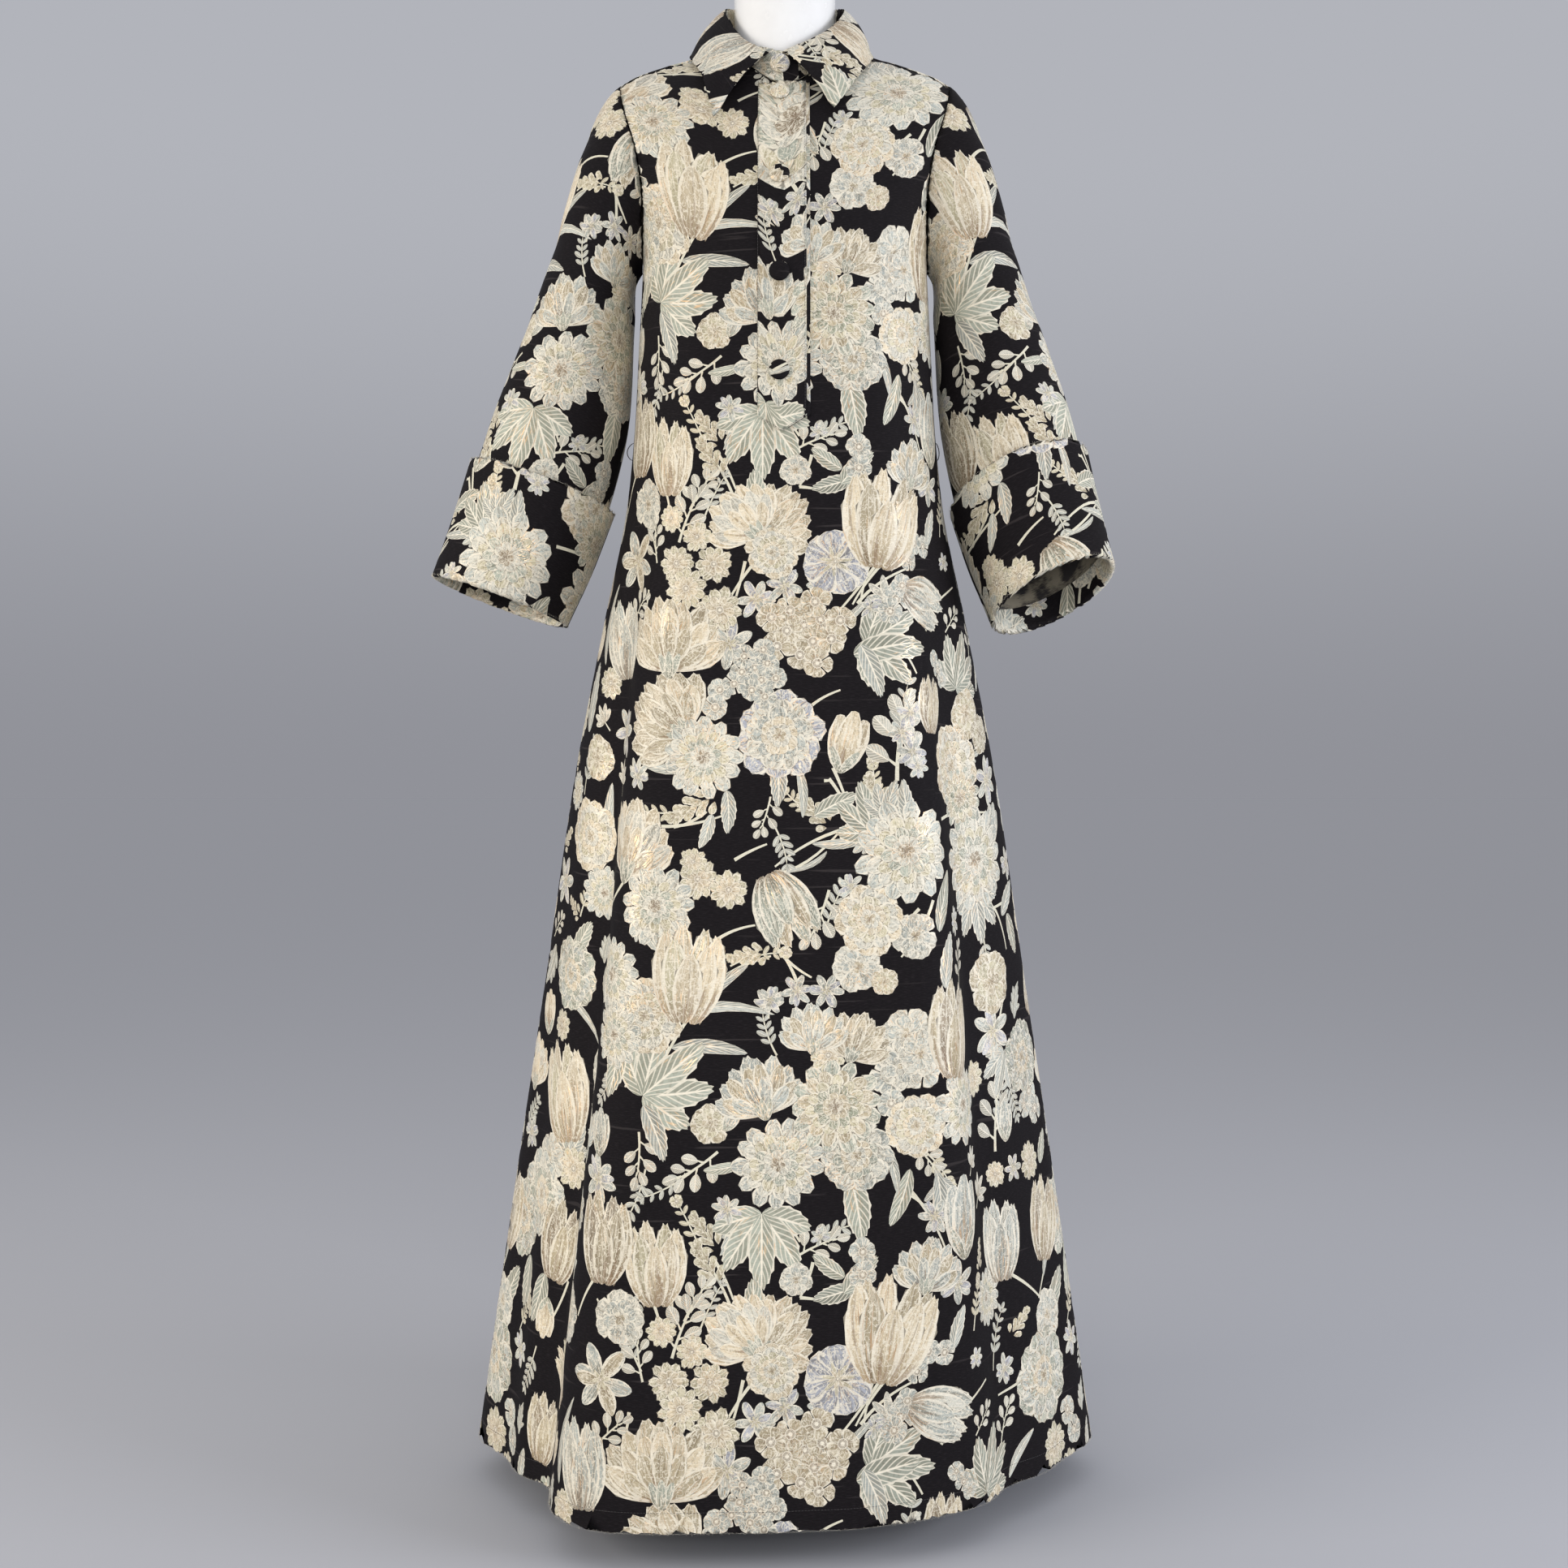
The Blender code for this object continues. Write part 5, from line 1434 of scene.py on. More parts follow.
    # Copper threads, a few in each petal, here and there over the cloth.
    patches = node(SMOOTH_RAMP, (stretched(flat, (17.0, 17.0, 1.0), 1.0), 0.46, 0.60))
    threads = node(SMOOTH_RAMP, (stretched(place, (13.0, 3.4, 11.0), 1.0), 0.60, 0.66, 0.0, 0.85))
    copper = node(TIMES, (node(TIMES, (patches, threads)), figure))
    tone = node(TINT, (copper, tone, colour("#E3BE93")))
    tone = node(TINT, (figure, ground, tone))
    # Relief: figures stand up from the ground, rounded at their rims, with raised lines.
    dome = node(SMOOTH_RAMP, (reach, 0.55, 1.0, 1.0, 0.45))
    relief = node(TIMES, (node(TIMES_PLUS, (fine, 0.5, dome)), figure))
    raised = node(TIMES_PLUS, (grain, 0.30, relief))
    bump = node(BUMP, {"Strength": 0.8, "Distance": 0.35 * MM, "Height": raised})
    rough = node(TIMES_PLUS, (copper, -0.16, node(RAMP, (figure, 0.0, 1.0, 0.75, 0.48))))
    inputs = {"Base Color": tone, "Metallic": copper, "Roughness": rough, "IOR": 1.5, "Normal": bump}
    inputs["Specular IOR Level"] = node(RAMP, (figure, 0.0, 1.0, 0.10, 0.45))
    finish_with(tree, inputs | {"Sheen Weight": node(TIMES, (figure, 0.12)), "Sheen Roughness": 0.4})
    return material


def brocade_back():
    """The back of the brocade: dull, with the yarns that the front leaves out lying loose."""
    material, tree = blank("brocade_back")
    flat = add(tree, "ShaderNodeUVMap", uv_map="flat")
    yarns = add(tree, VECTOR, (flat, (1 / FLOAT_RUN, 1 / YARN, 0.0)), operation="MULTIPLY")
    grain = add(tree, NOISE, {"Vector": yarns, "Scale": 1.0, "Detail": 2.0})
    spread = add(tree, VECTOR, (flat, (34.0, 34.0, 0.0)), operation="MULTIPLY")
    blots = add(tree, NOISE, {"Vector": spread, "Scale": 1.0, "Detail": 3.0})
    mixed = add(tree, TIMES_PLUS, (grain, 0.35, blots))
    bare = add(tree, RAMP, (mixed, 0.60, 0.74, 0.0, 1.0))
    tone = add(tree, TINT, (bare, colour("#8E8674"), colour("#2A2627")))
    bump = add(tree, BUMP, {"Strength": 0.6, "Distance": 0.3 * MM, "Height": grain})
    finish_with(tree, {"Base Color": tone, "Roughness": 0.75, "Sheen Weight": 0.1, "Normal": bump})
    return material


def thread(name, code):
    """Spun polyester sewing thread: matt, with a fine twist."""
    material, tree = blank(name)
    where = add(tree, "ShaderNodeTexCoord").outputs["Object"]
    twist = add(tree, NOISE, {"Vector": where, "Scale": 1 / (0.5 * MM), "Detail": 1.0})
    worn = add(tree, RAMP, (twist, 0.35, 0.7, 0.0, 0.5))
    tone = add(tree, TINT, (worn, colour(code), colour("#6A6462")))
    bump = add(tree, BUMP, {"Strength": 0.5, "Distance": 0.1 * MM, "Height": twist})
    finish_with(tree, {"Base Color": tone, "Roughness": 0.6, "Sheen Weight": 0.2, "Normal": bump})
    return material


def gloss_white():
    """Moulded fibreglass with a gloss white lacquer, very slightly rippled and dusty."""
    material, tree = blank("gloss_white")
    where = add(tree, "ShaderNodeTexCoord").outputs["Object"]
    ripple = add(tree, NOISE, {"Vector": where, "Scale": 9.0, "Detail": 2.0})
    dust = add(tree, NOISE, {"Vector": where, "Scale": 60.0, "Detail": 4.0})
    dusty = add(tree, RAMP, (dust, 0.4, 0.8, 0.0, 0.25))
    tone = add(tree, TINT, (dusty, colour("#F3F2EF"), colour("#E2E0DB")))
    bump = add(tree, BUMP, {"Strength": 0.15, "Distance": 1.0 * MM, "Height": ripple})
    inputs = {"Base Color": tone, "Roughness": add(tree, RAMP, (dust, 0.3, 0.8, 0.18, 0.32)), "IOR": 1.5}
    finish_with(tree, inputs | {"Coat Weight": 0.5, "Coat Roughness": 0.08, "Normal": bump})
    return material


def brushed_steel():
    """Turned and brushed steel: round brush lines, bright, with finger marks."""
    material, tree = blank("brushed_steel")
    where = add(tree, "ShaderNodeTexCoord").outputs["Object"]
    x, y, z = add(tree, PARTED, (where,)).outputs
    out = add(tree, VECTOR, (add(tree, JOINED, (x, y)),), operation="LENGTH")
    lines_place = add(tree, JOINED, (out.outputs["Value"], z))
    lines = add(tree, NOISE, {"Vector": lines_place, "Scale": 1 / (0.8 * MM), "Detail": 2.0})
    marks = add(tree, NOISE, {"Vector": where, "Scale": 22.0, "Detail": 4.0})
    rough = add(tree, RAMP, (marks, 0.3, 0.8, 0.24, 0.40))
    brushed = add(tree, RAMP, (lines, 0.3, 0.7, 0.0, 1.0))
    tone = add(tree, TINT, (brushed, colour("#B9BABC"), colour("#9FA1A4")))
    bump = add(tree, BUMP, {"Strength": 0.3, "Distance": 0.05 * MM, "Height": lines})
    finish_with(tree, {"Base Color": tone, "Metallic": 1.0, "Roughness": rough, "Normal": bump})
    return material


BROCADE = brocade()
WRONG_SIDE = brocade_back()
BLACK_THREAD = thread("black_thread", "#1B191A")
PALE_THREAD = thread("pale_thread", "#CFC8B6")
GLOSS_WHITE = gloss_white()
BRUSHED_STEEL = brushed_steel()


# Pieces


def worked(points, flat, creases):
    """The grid with its creases pressed in: each runs between two spots of the flat cloth."""
    moved = np.zeros(points.shape[:2])
    for *run, depth in creases:
        x, y, far_x, far_y, width = metres(run)
        start, way = np.array([x, y]), np.array([far_x - x, far_y - y])
        share = np.clip(((flat - start) @ way) / (way @ way), 0, 1)
        away = np.linalg.norm(flat - start - share[..., None] * way, axis=-1)
        fade = np.sin(math.pi * np.clip(share * 0.86 + 0.07, 0, 1)) ** 0.7
        moved += depth * MM * fade * np.exp(-((away / width) ** 2))
    return points + outward_normals(points) * moved[..., None]


def sheet_of(points, middle=None, centre=None, mirror=False, eased=0):
    flat = lay_flat(points, centre, mirror, rounds=0 if eased else 3)
    return FlatCloth(points, relaxed(points, flat, eased), middle)


def finished(obj, material, *nodes, held=None, **facts):
    """Gives the object its material, ties it to the root and hides the model's parts named by nodes; held and
    the other facts, such as its cut, are not used.
    """
    obj.data.materials.append(material)
    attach(obj, "root")
    if nodes:
        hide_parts(*nodes)
    return obj


def turned_up(points):
    """The panel with its hem turned up inside, as rows before the first."""
    depth = CLOTH * 1.06
    normals = outward_normals(points)
    levels = points[:, points.shape[1] // 2, 2] - points[0, points.shape[1] // 2, 2]
    inside = []
    for level in (HEM_TURN_UP, HEM_TURN_UP * 0.66, HEM_TURN_UP * 0.33, 0.0):
        k = min(int(np.searchsorted(levels, level, side="right")) - 1, len(levels) - 2)
        share = (level - levels[k]) / (levels[k + 1] - levels[k])
        row = points[k] * (1 - share) + points[k + 1] * share
        inside.append(row - normals[k] * depth)
    fold = points[0] - normals[0] * depth * np.array([0.85, 0.5, 0.15])[:, None, None]
    fold[:, :, 2] -= CLOTH * np.array([0.25, 0.35, 0.25])[:, None]
    return np.concatenate([np.array(inside), fold, points])


# Creases of each piece: from and to on the flat cloth, width and depth, all in mm.
PANEL_CREASES = {
    "front": (
        (-125, 1290, -60, 1190, 16, -0.9), (130, 1300, 75, 1200, 16, -0.8),
        (-150, 1240, -110, 1120, 20, 0.9), (150, 1230, 120, 1100, 20, 0.8),
        (-100, 1060, 20, 1030, 22, -0.7), (15, 960, 120, 990, 22, -0.8), (-60, 820, 60, 800, 30, 0.8),
        (-155, 930, -120, 700, 16, -1.6), (128, 900, 150, 660, 14, -1.8), (-90, 640, -100, 260, 30, 1.4),
        (60, 560, 75, 160, 34, -1.6), (0, 420, -20, 60, 30, 1.2), (-290, 520, -330, 120, 18, -1.8),
        (255, 560, 300, 150, 18, 1.8),
    ),
    "back": (
        (-120, 1300, -60, 1200, 18, -0.8), (125, 1310, 65, 1200, 18, -0.9),
        (-80, 1080, 30, 1050, 24, -0.8), (10, 1010, 100, 1030, 22, 0.8), (-50, 900, 60, 890, 26, -0.9),
        (-140, 860, -160, 500, 20, 1.6), (120, 840, 150, 480, 20, -1.6), (10, 700, 0, 240, 30, 1.5),
        (-250, 500, -290, 110, 22, 1.8), (260, 460, 300, 90, 22, -1.8),
    ),
}
SLEEVE_CREASES = {
    "left": (
        (-20, 520, 45, 500, 14, -1.6), (-60, 400, 60, 385, 18, -2.2), (-120, 330, -10, 300, 20, -2.4),
        (10, 290, 140, 330, 20, -2.0), (-150, 400, -60, 440, 18, -1.6), (150, 420, 80, 460, 18, -1.8),
        (-20, 250, 20, 160, 24, 1.6),
    ),
    "right": (
        (-45, 515, 30, 500, 14, -1.5), (-50, 380, 70, 400, 18, -2.0), (-10, 310, 110, 290, 20, -2.4),
        (-140, 320, -40, 345, 20, -2.2), (140, 440, 60, 470, 18, -1.6), (-150, 430, -80, 460, 18, -1.8),
        (10, 240, -10, 150, 24, 1.6),
    ),
}
# The top of the placket is one pale flower, down to this height on its flat cloth.
PIECED_FROM = 0.260
# Where each piece was cut from the woven length: its flat origin in the repeat.
SHIFTS = {
    "front": (0.0, 0.0),
    "back": (0.10, 0.33),
    "sleeve_left": (-0.106, 0.098),
    "sleeve_right": (-0.003, 0.100),
    "cuff_left": (0.010, 0.590),
    "cuff_right": (0.092, 0.584),
    "collar": (-0.309, 0.206),
    "collar_stand": (0.30, 0.52),
    "placket_over": (-0.003, 0.284),
    "placket_under": (0.20, 0.12),
}


def body_panel(side):
    """The front or the back, with its hem turned up and its other edges turned in."""
    points = panel_points(side)
    points = worked(points, lay_flat(points), PANEL_CREASES[side])
    inner = points - outward_normals(points) * CLOTH
    centre = PANEL_COLUMNS // 2
    low = int(np.searchsorted(points[:, centre, 2] - HEM_HEIGHT, HEM_TURN_UP - 4 * MM))
    lining = sheet_of(inner[low::2, ::2])
    outer = turned_up(points)
    turned = len(outer) - len(points)
    outer = turned_edges(outer, ("last_row", "first_column", "last_column"))
    flat = lay_flat(outer)
    flat[..., 1] -= flat[turned, centre, 1]
    cloth = FlatCloth(outer, flat)
    obj = woven(f"{side}_panel", cloth, SPACING["panel"], SHIFTS[side])
    hung_on_form(obj, side, cloth, wrong_side(f"{side}_wrong_side", lining))
    return points


def hung_on_form(obj, node, cloth, inside):
    facts = {"held": "draped", "rests_on": ("form_torso",), "with_pieces": (inside,)}
    finished(obj, BROCADE, node, **facts, **cut_of(cloth))


def folded_over(name, node, cloth, spacing, shift, *rests_on, more=()):
    """A small folded piece, woven and finished."""
    obj = woven(name, cloth, SPACING[spacing], SHIFTS[shift], more)
    finished(obj, BROCADE, node, held="folded", rests_on=rests_on, **cut_of(cloth))


def cut_of(cloth):
    """The width, length and area of the piece laid flat, all its turned-in cloth with it."""
    a, b, c = (cloth.flat.reshape(-1, 2)[cloth.triangles[:, k]] for k in range(3))
    width, length = (round(float(side), 3) for side in np.ptp(cloth.flat.reshape(-1, 2), axis=0))
    return {"flat": (width, length), "area": round(float(np.abs(cross(b - a, c - a)).sum() / 2), 4)}


def round_again(grid):
    """A ring's rows closed by their first column, which is the underarm seam."""
    return np.concatenate([grid, grid[:, :1]], axis=1)


def sleeve_and_cuff(side):
    left = side == "left"
    grid = sleeve_points(LEFT_SLEEVE if left else RIGHT_SLEEVE)

    def place(points):
        return round_again(lifted(mirrored(points) if left else points))

    points = place(grid)[::-1]
    centre = points.shape[1] // 2
    flat = lay_flat(points, centre, mirror=left)
    points = worked(points, flat, SLEEVE_CREASES[side])
    lining = sheet_of((points - outward_normals(points) * CLOTH)[::3, ::2])
    edged = turned_edges(points, ("last_row",))
    cloth = sheet_of(edged, centre=centre, mirror=left, eased=EASE_ROUNDS)
    obj = woven(f"set_in_sleeve_{side}", cloth, SPACING["sleeve"], SHIFTS[f"sleeve_{side}"])
    hung_on_form(obj, f"sleeve_{side}", cloth, wrong_side(f"sleeve_wrong_side_{side}", lining))
    points = place(cuff_rows(grid))
    cloth = sheet_of(points, centre=centre, mirror=left, middle=middle_of(points))
    cuff = f"cuff_{side}"
    folded_over(f"turned_{cuff}", cuff, cloth, "cuff", cuff, f"sleeve_{side}")
    return points


def cuff_rows(grid):
    """Rows of the turned-back cuff: from the facing inside, round the far edge, up the outside to
    the top, over it and down behind."""

    def ring(level):
        return along_sleeve(grid, level)

    bottom = ring(0.0)
    below = 2 * bottom - ring(0.02)
    drop = unit(below - bottom)
    clear = 2 * SEAM
    inside = -(2 * CLOTH + clear)

    def at(level, out, down=0.0):
        here = ring(level)
        return here + ring_normals(here, below) * out + drop * down

    def outer(level):
        return clear + CLOTH + CUFF_FLARE * (level / CUFF_HEIGHT) ** 1.3

    rows = [at(level, inside) for level in np.linspace(CUFF_FACING, 0.0, CUFF_INSIDE_ROWS)]
    turn = clear + CLOTH
    mid, half = (inside + outer(0.0)) / 2, (outer(0.0) - inside) / 2
    for angle in np.radians(CUFF_RIM):
        rows.append(at(0.0, mid - half * math.cos(angle), turn * math.sin(angle) ** 0.6))
    rows += [at(level, outer(level)) for level in np.linspace(0.0, CUFF_HEIGHT, CUFF_OUTSIDE_ROWS)]
    top = outer(CUFF_HEIGHT)
    rise = ring(CUFF_HEIGHT) - ring(CUFF_HEIGHT - 0.004)
    rows.append(at(CUFF_HEIGHT, top - CLOTH * 0.5) + unit(rise) * CLOTH * 0.35)
    behind = np.linspace(CUFF_HEIGHT, CUFF_HEIGHT * 0.6, CUFF_BEHIND_ROWS)
    rows += [at(level, outer(level) - CLOTH) for level in behind]
    return np.array(rows)


def dense_front(points):
    index = np.arange(points.shape[0] * points.shape[1]).reshape(points.shape[:2])
    quads = np.stack([index[:-1, :-1], index[:-1, 1:], index[1:, 1:], index[1:, :-1]], axis=-1)
    return BVHTree.FromPolygons(points.reshape(-1, 3).tolist(), quads.reshape(-1, 4).tolist())


def on_front(tree, x, height):
    """Where the front panel is at x and this height above the hem, and its normal there."""
    place, normal, _, _ = tree.ray_cast(Vector((x, -1.0, height + HEM_HEIGHT)), Vector((0.0, 1.0, 0.0)))
    return np.array(place), np.array(normal) * (-1 if normal.y > 0 else 1)


def placket_bottom(x):
    middle, half = (PLACKET_LEFT + PLACKET_RIGHT) / 2, (PLACKET_RIGHT - PLACKET_LEFT) / 2
    return PLACKET_TIP + (PLACKET_SHOULDER - PLACKET_TIP) * min(1.0, abs(x - middle) / half)


def placket_rows(tree, edges, offsets):
    grid = []
    for share in np.linspace(0, 1, PLACKET_ROWS):
        line = []
        for x, offset in zip(edges, offsets):
            low = placket_bottom(x)
            place, normal = on_front(tree, x, low + (PLACKET_TOP - low) * share)
            line.append(place + normal * (offset + CLOTH))
        grid.append(line)
    return np.array(grid)


def pieced_top():
    """The pale flower that fills the top of the placket down to a straight line."""
    shapes = []
    for shape in placed(drawn("mum_pale"), 0.012, 0.340, 20, 0.21):
        if shape["outline"][:, 1].max() > PIECED_FROM + 2 * MM:
            shapes.append(shape | {"outline": np.maximum(shape["outline"], (-1.0, PIECED_FROM))})
    return shapes


def plackets(tree):
    """The under band, and the upper one that steps over it; the upper one's points are given back."""
    close, above = SEAM + 0.0002, CLOTH + 2 * SEAM + 0.0004
    over_x = np.linspace(PLACKET_LEFT, PLACKET_RIGHT, 21)
    rise = np.clip((over_x - PLACKET_LEFT - 0.012) / 0.012, 0, 1)
    over = placket_rows(tree, over_x, close + (above - close) * rise + 0.0003 * rise)
    under_x = np.linspace(PLACKET_UNDER_LEFT, PLACKET_UNDER_RIGHT, 12)
    under = placket_rows(tree, under_x, np.full(12, close))
    every = ("first_row", "last_row", "first_column", "last_column")
    for name, grid in (("placket_over", over), ("placket_under", under)):
        middle = np.array([0.0, 1.0, 1.0])
        cloth = sheet_of(turned_edges(grid, every, CLOTH * 0.9, middle), middle)
        more = pieced_top() if name == "placket_over" else ()
        folded_over(f"{name}_band", name, cloth, "small", name, "front", more=more)
    return over


def neckline(turn):
    size = np.abs(turn)
    share = NECK_SHARE * np.sin(math.pi * size) * np.sign(turn)
    front = yoke(share, neck_cut(share, "front"), "front")
    back = yoke(share, neck_cut(share, "back"), "back")
    return np.where((size < 0.5)[..., None], front, back)


def stand_point(turn, rise):
    low = neckline(turn) + np.array([0.0, 0.0, 2 * SEAM])
    size = np.abs(turn)
    high = curve(size, COLLAR_TURN, np.transpose((STAND_OUT, STAND_BACK, STAND_UP)))
    high[..., 0] *= np.sign(turn)
    return low + (high - low) * rise


def doubled(points, middle, depth):
    """A folded piece: the grid's rows go up the right side, over the last row and down behind, and
    its ends are turned in."""
    normals = outward_normals(points, middle)
    past = unit(points[-1:] - points[-2:-1])
    fold = [
        points[-1:] - normals[-1:] * depth * share + past * depth * out
        for share, out in ((0.12, 0.28), (0.5, 0.45), (0.88, 0.28))
    ]
    both = np.concatenate([points] + fold + [(points - normals * depth)[::-1]])
    return turned_edges(both, ("first_column", "last_column"), depth * 0.5, middle)


def collar_stand():
    over_end = math.asin(STAND_OVER_END / NECK_HALF_WIDTH) / math.pi
    under_end = math.asin(STAND_UNDER_END / NECK_HALF_WIDTH) / math.pi
    turns = np.concatenate([np.linspace(under_end, 1, 70), np.linspace(-1, over_end, 68)[1:]])
    step = np.concatenate([np.zeros(70), np.clip((turns[70:] + 0.20) / 0.16, 0, 1)])
    step = (CLOTH + 2 * SEAM) * step * step * (3 - 2 * step)
    grid = []
    for rise in np.linspace(0, 1, 9):
        line = stand_point(turns, rise)
        away = unit(line * LEVEL)
        grid.append(line + away * step[:, None])
    points = lifted(np.array(grid))
    middle = middle_of(points)
    folded = doubled(points, middle, CLOTH * 0.9)
    cloth = sheet_of(folded, eased=EASE_ROUNDS)
    folded_over("neck_stand", "collar_stand", cloth, "small", "collar_stand", "front", "back")


def collar_point(side, turn, down):
    """A point of the fall: turn from the front to the back, down from the fold to the outer edge."""
    sign = -1 if side == "left" else 1
    ends = []
    for out, back, up in ((FOLD_OUT, FOLD_BACK, FOLD_UP), (EDGE_OUT, EDGE_BACK, EDGE_UP)):
        x = sign * curve(turn, COLLAR_TURN, out[side])
        ends.append(np.array([x, curve(turn, COLLAR_TURN, back), curve(turn, COLLAR_TURN, up[side])]))
    fold, edge = ends
    away = unit((edge - fold) * LEVEL)
    away[2] = 0.55
    arch = FALL_BULGE * max(0.0, math.sin(math.pi * min(1.0, down * 1.15))) ** 0.7
    return fold + (edge - fold) * down + away * arch


def collar_fall():
    """The fall: under side from the fold to the edge, right side back up to the fold, and over it."""
    turns = np.linspace(0, 1, 60) ** 1.15
    stops = [("left", turn) for turn in turns] + [("right", turn) for turn in turns[::-1][1:]]
    downs = np.concatenate([np.linspace(0, 0.2, 8), np.linspace(0.2, 1, 22)[1:]])
    top = lifted(np.array([[collar_point(side, turn, down) for side, turn in stops] for down in downs]))
    middle = middle_of(top)
    folded = doubled(top, middle, CLOTH * 0.95)
    cloth = sheet_of(folded, middle, eased=EASE_ROUNDS)
    folded_over("collar_fall", "collar", cloth, "small", "collar", "collar_stand")


# Covered buttons: where each one's cloth was cut from the repeat.
BUTTON_SHIFTS = {
    "button_collar": (0.060, 0.150),
    "button_1": (0.095, 0.585),
    "button_2": (0.012, 0.215),
    "button_3": (-0.205, 0.640),
    "button_4": (0.018, 0.650),
}
# The dome's half profile, as shares of its radius and height, from its middle to under its rim.
BUTTON_REACH = (0, 0.35, 0.7, 0.85, 0.95, 1)
BUTTON_PROFILE = ((0.0, 1.0), (0.45, 0.93), (0.80, 0.68), (0.97, 0.36), (1.0, 0.18), (0.93, 0.0))


def covered_button(name, place, normal):
    """A dome covered in brocade, drawn tight over the rim, with slight puckers there."""
    side = np.linspace(-1, 1, 25)
    x, y = np.meshgrid(side, side)
    flat_x, flat_y = x * np.sqrt(1 - y**2 / 2), y * np.sqrt(1 - x**2 / 2)
    reach = np.hypot(flat_x, flat_y)
    turn = np.arctan2(flat_y, flat_x)
    dome = curve(reach, BUTTON_REACH, BUTTON_PROFILE)
    radius, height = BUTTON_RADIUS * dome[..., 0], BUTTON_DOME * dome[..., 1]
    radius = radius * (1 - 0.012 * smooth(reach, 0.8, 0.95) * (1 + np.sin(19 * turn)) / 2)
    local = np.stack([radius * np.cos(turn), radius * np.sin(turn), height], axis=-1)
    turned = np.array(Vector(normal).to_track_quat("Z", "Y").to_matrix())
    points = local @ turned.T + place
    flat = np.stack([flat_x, flat_y], axis=-1) * BUTTON_RADIUS * 1.25
    cloth = FlatCloth(points, flat, middle_of(points) - np.array(normal))
    finished(woven(f"covered_{name}", cloth, SPACING["button"], BUTTON_SHIFTS[name]), BROCADE, name)


def buttons(tree):
    over = 2 * CLOTH + 3 * SEAM + 0.0008
    for count, height in enumerate(BUTTON_HEIGHTS, start=1):
        place, normal = on_front(tree, BUTTON_X, height)
        covered_button(f"button_{count}", place + normal * over, normal)
    turn = np.array([math.asin(BUTTON_X / NECK_HALF_WIDTH) / math.pi])
    low, high = stand_point(turn, 0.0)[0], stand_point(turn, 1.0)[0]
    up = unit(high - low)
    normal = np.array([0.0, -up[2], up[1]])
    covered_button("button_collar", lifted(low + (high - low) * 0.56) + normal * (CLOTH + 5 * SEAM), normal)


# Thread work, made by geometry nodes


def thread_tree():
    """A tree that sets short lengths of thread along lines; a Scatter of 0 keeps them on the line."""
    tree = bpy.data.node_groups.new("thread_along_lines", "GeometryNodeTree")
    tree.is_modifier = True
    tree.interface.new_socket("Geometry", in_out="INPUT", socket_type="NodeSocketGeometry")
    for label in ("Pitch", "Length", "Thickness", "Scatter"):
        tree.interface.new_socket(label, in_out="INPUT", socket_type="NodeSocketFloat")
    tree.interface.new_socket("Seed", in_out="INPUT", socket_type="NodeSocketInt")
    tree.interface.new_socket("Material", in_out="INPUT", socket_type="NodeSocketMaterial")
    tree.interface.new_socket("Geometry", in_out="OUTPUT", socket_type="NodeSocketGeometry")
    given = tree.nodes.new("NodeGroupInput").outputs
    line = add(tree, "GeometryNodeMeshToCurve", (given["Geometry"],))
    line = add(tree, "GeometryNodeResampleCurve", {"Curve": line, "Length": given["Pitch"]}, mode="LENGTH")
    stub = add(tree, "GeometryNodeMeshUVSphere", {"Segments": 6, "Rings": 5, "Radius": 0.5})
    size = add(tree, JOINED, (given["Thickness"], given["Thickness"], given["Length"]))
    stub = add(tree, "GeometryNodeTransform", {"Geometry": stub, "Scale": size})
    tangent = add(tree, "GeometryNodeInputTangent")
    along = add(tree, "FunctionNodeAlignRotationToVector", {"Vector": tangent}, axis="Z")
    low = add(tree, TIMES, (given["Scatter"], -1.0))
    span = {"Min": low, "Max": given["Scatter"], "Seed": given["Seed"]}
    spread = add(tree, "FunctionNodeRandomValue", span, data_type="FLOAT_VECTOR")
    lay = add(tree, "FunctionNodeEulerToRotation", (spread,))
    turn = add(tree, "FunctionNodeRotateRotation", (along, lay), rotation_space="LOCAL")
    laid = add(tree, "GeometryNodeInstanceOnPoints", {"Points": line, "Instance": stub, "Rotation": turn})
    laid = add(tree, "GeometryNodeRealizeInstances", (laid,))
    laid = add(tree, "GeometryNodeSetMaterial", {"Geometry": laid, "Material": given["Material"]})
    add(tree, "NodeGroupOutput", (laid,))
    return tree


THREAD_TREE = thread_tree()


def threads(name, lines, material, sizes, seed=3):
    """Thread laid along lines of points, as one mesh."""
    mesh = bpy.data.meshes.new(name)
    points, edges = [], []
    for line in lines:
        edges += [(len(points) + i, len(points) + i + 1) for i in range(len(line) - 1)]
        points += [tuple(point) for point in line]
    mesh.from_pydata(points, edges, [])
    obj = linked(name, mesh)
    modifier = obj.modifiers.new("threads", "NODES")
    modifier.node_group = THREAD_TREE
    values = {"Scatter": 0.0, "Seed": seed, "Material": material} | sizes
    for item in THREAD_TREE.interface.items_tree:
        if item.name in values:
            modifier[item.identifier] = values[item.name]
    made = mesh_from(obj)
    obj.modifiers.clear()
    obj.data = made
    made.name = name
    finished(obj, material)


def mesh_from(obj):
    """A plain smooth mesh of what the object evaluates to."""
    made = bpy.data.meshes.new_from_object(obj.evaluated_get(bpy.context.evaluated_depsgraph_get()))
    made.shade_smooth()
    made.materials.clear()
    return made


def hem_line(points):
    """A line round a panel at the top of its turned-up hem, just off its surface."""
    normals = outward_normals(points)
    levels = points[:, points.shape[1] // 2, 2] - HEM_HEIGHT
    k = int(np.searchsorted(levels, HEM_TURN_UP)) - 1
    share = (HEM_TURN_UP - levels[k]) / (levels[k + 1] - levels[k])
    return (points[k] * (1 - share) + points[k + 1] * share + normals[k] * (0.1 * MM))[2:-2]


